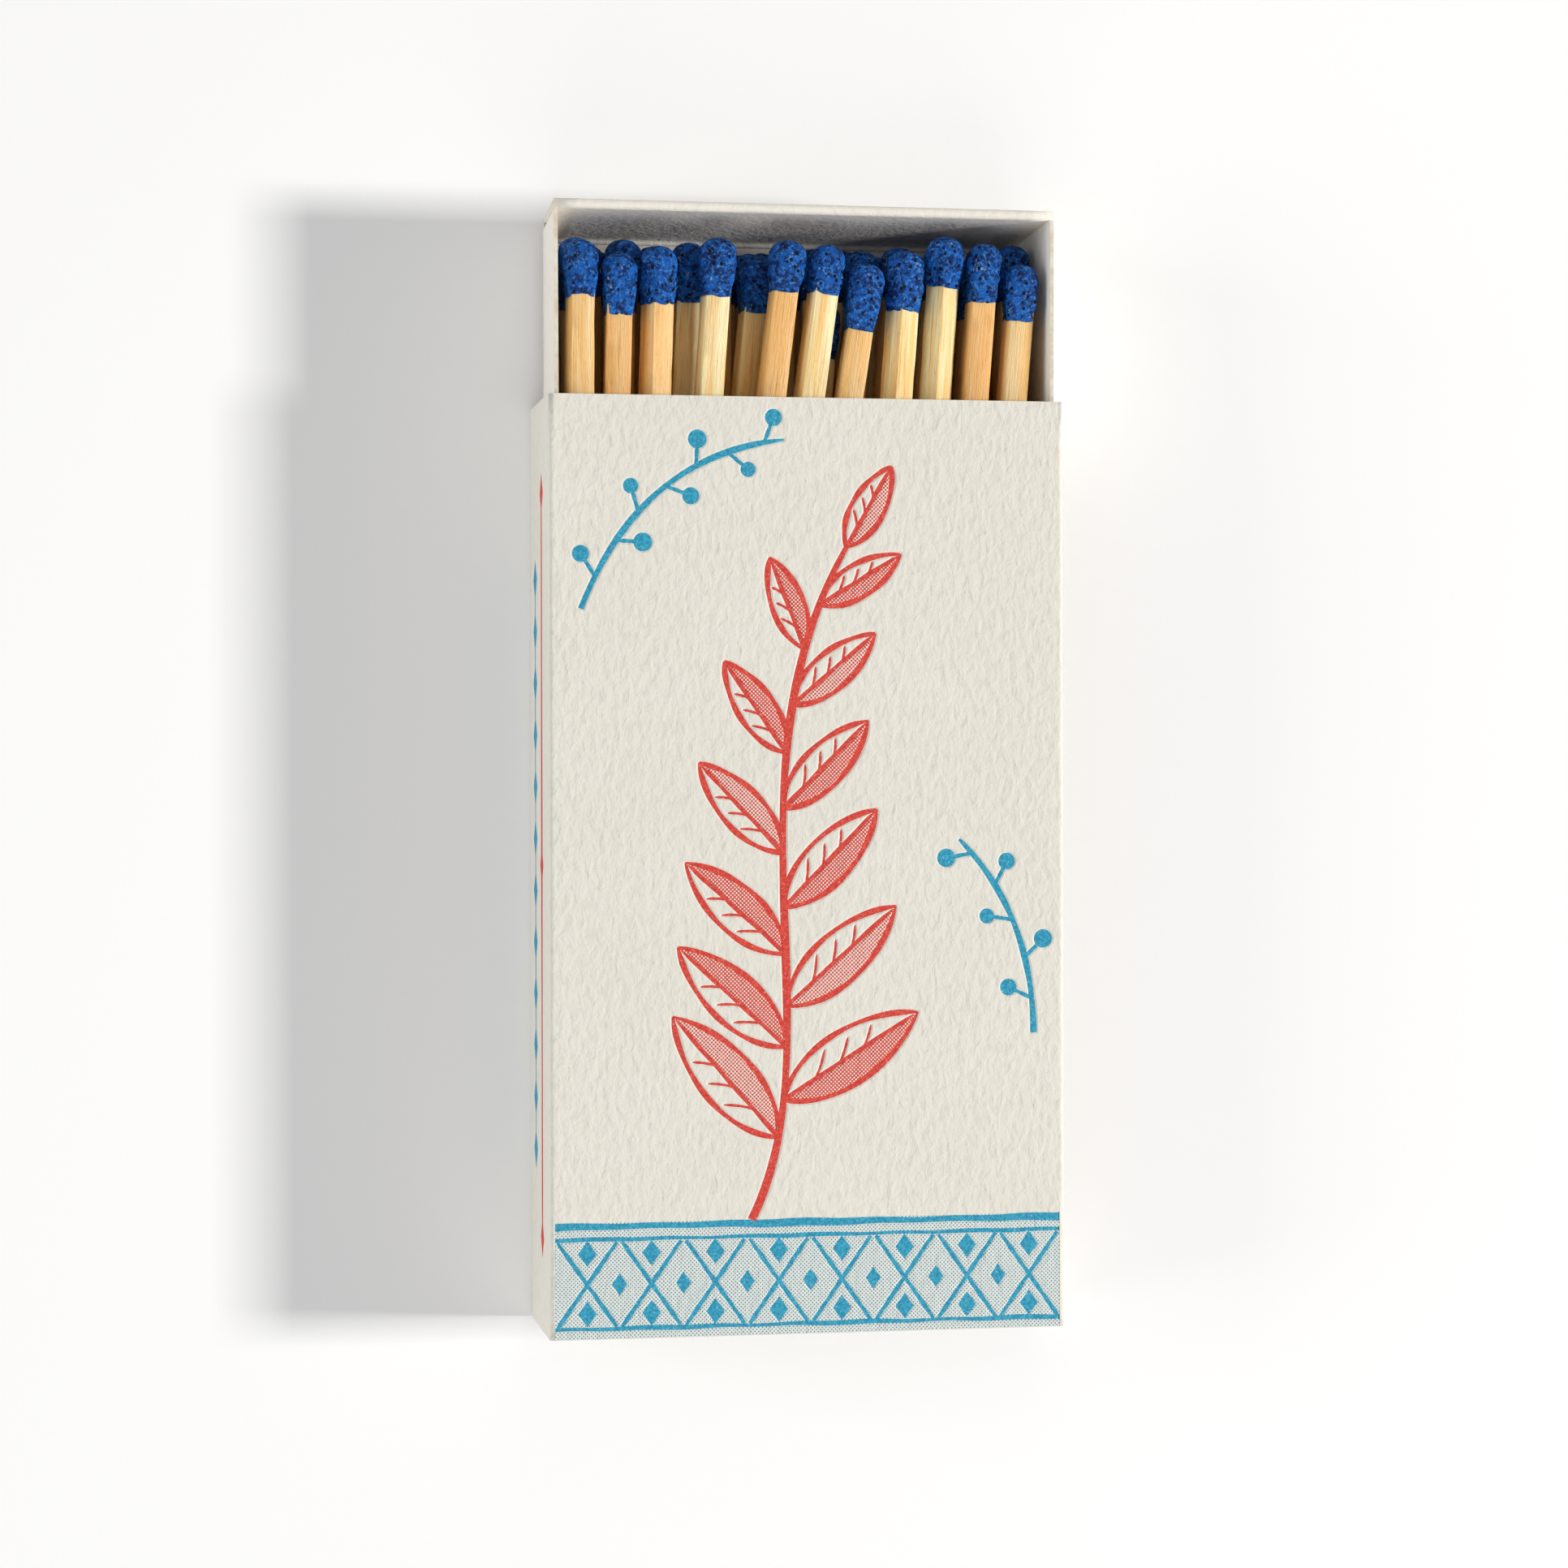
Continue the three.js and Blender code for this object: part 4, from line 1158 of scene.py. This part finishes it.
def area_lamp(name, azimuth, elevation, distance, size, power, colour):
    """A square lamp in the direction given: azimuth from +X towards +Y, both in degrees."""
    data = bpy.data.lights.new(name, "AREA")
    data.shape, data.size, data.energy, data.color = "SQUARE", size, power, colour
    lamp = bpy.data.objects.new(name, data)
    a, e = math.radians(azimuth), math.radians(elevation)
    target = Vector((0, 0.012, 0.01))
    direction = Vector((math.cos(a) * math.cos(e), math.sin(a) * math.cos(e), math.sin(e)))
    lamp.location = target + direction * distance
    bpy.context.scene.collection.objects.link(lamp)
    lamp.rotation_euler = (target - lamp.location).to_track_quat("-Z", "Y").to_euler()


def world(strength):
    scene_world = bpy.data.worlds.new("studio")
    bpy.context.scene.world = scene_world
    scene_world.use_nodes = True
    tree = scene_world.node_tree
    background = tree.nodes["Background"]
    background.inputs["Color"].default_value = (1, 1, 1, 1)
    path = tree.nodes.new("ShaderNodeLightPath")
    seen = tree.nodes.new("ShaderNodeMath")
    seen.operation = "MAXIMUM"
    tree.links.new(path.outputs["Is Camera Ray"], seen.inputs[0])
    tree.links.new(path.outputs["Is Transmission Ray"], seen.inputs[1])
    level = tree.nodes.new("ShaderNodeMapRange")
    tree.links.new(seen.outputs[0], level.inputs["Value"])
    level.inputs["To Min"].default_value = strength
    level.inputs["To Max"].default_value = 1.0
    tree.links.new(level.outputs["Result"], background.inputs["Strength"])


KEY_DISTANCE = 1.9
KEY_POWER = 31.0
FILL_DISTANCE = 1.1
FILL_LEFT_POWER = 4.8
FILL_NEAR_POWER = 2.0
SKY = 0.345


def lights():
    area_lamp("key", -1.5, 31.5, KEY_DISTANCE, 0.25, KEY_POWER, (1.0, 0.985, 0.96))
    area_lamp("fill_left", 180, 18, FILL_DISTANCE, 0.7, FILL_LEFT_POWER, (0.97, 0.985, 1.0))
    area_lamp("fill_near", -90, 36, FILL_DISTANCE, 0.9, FILL_NEAR_POWER, (0.99, 0.99, 1.0))
    world(SKY)


CAMERA_PLACE = (-0.07672, 0.00942, 0.43368)
CAMERA_TURN = (0.0007, -0.1762, -0.0019)
CAMERA_WIDTH_FACTOR = 2.283
SENSOR = 36


def camera():
    """Above the box and a little to its left, so that the left side panel shows."""
    data = bpy.data.cameras.new("camera")
    data.sensor_width = SENSOR
    data.lens = SENSOR * CAMERA_WIDTH_FACTOR
    data.clip_start, data.clip_end = 0.01, 20
    made = bpy.data.objects.new("camera", data)
    made.location = CAMERA_PLACE
    made.rotation_euler = CAMERA_TURN
    bpy.context.scene.collection.objects.link(made)
    bpy.context.scene.camera = made


sleeve()
striker()
drawer_card()
for row, count in (("top", 11), ("second", 10)):
    for number in range(1, count + 1):
        loose_match(f"{row}_match_{number:02d}", number + (0 if row == "top" else 100))
lower_matches()
floor()
lights()
camera()
bpy.context.scene.view_settings.view_transform = "Standard"
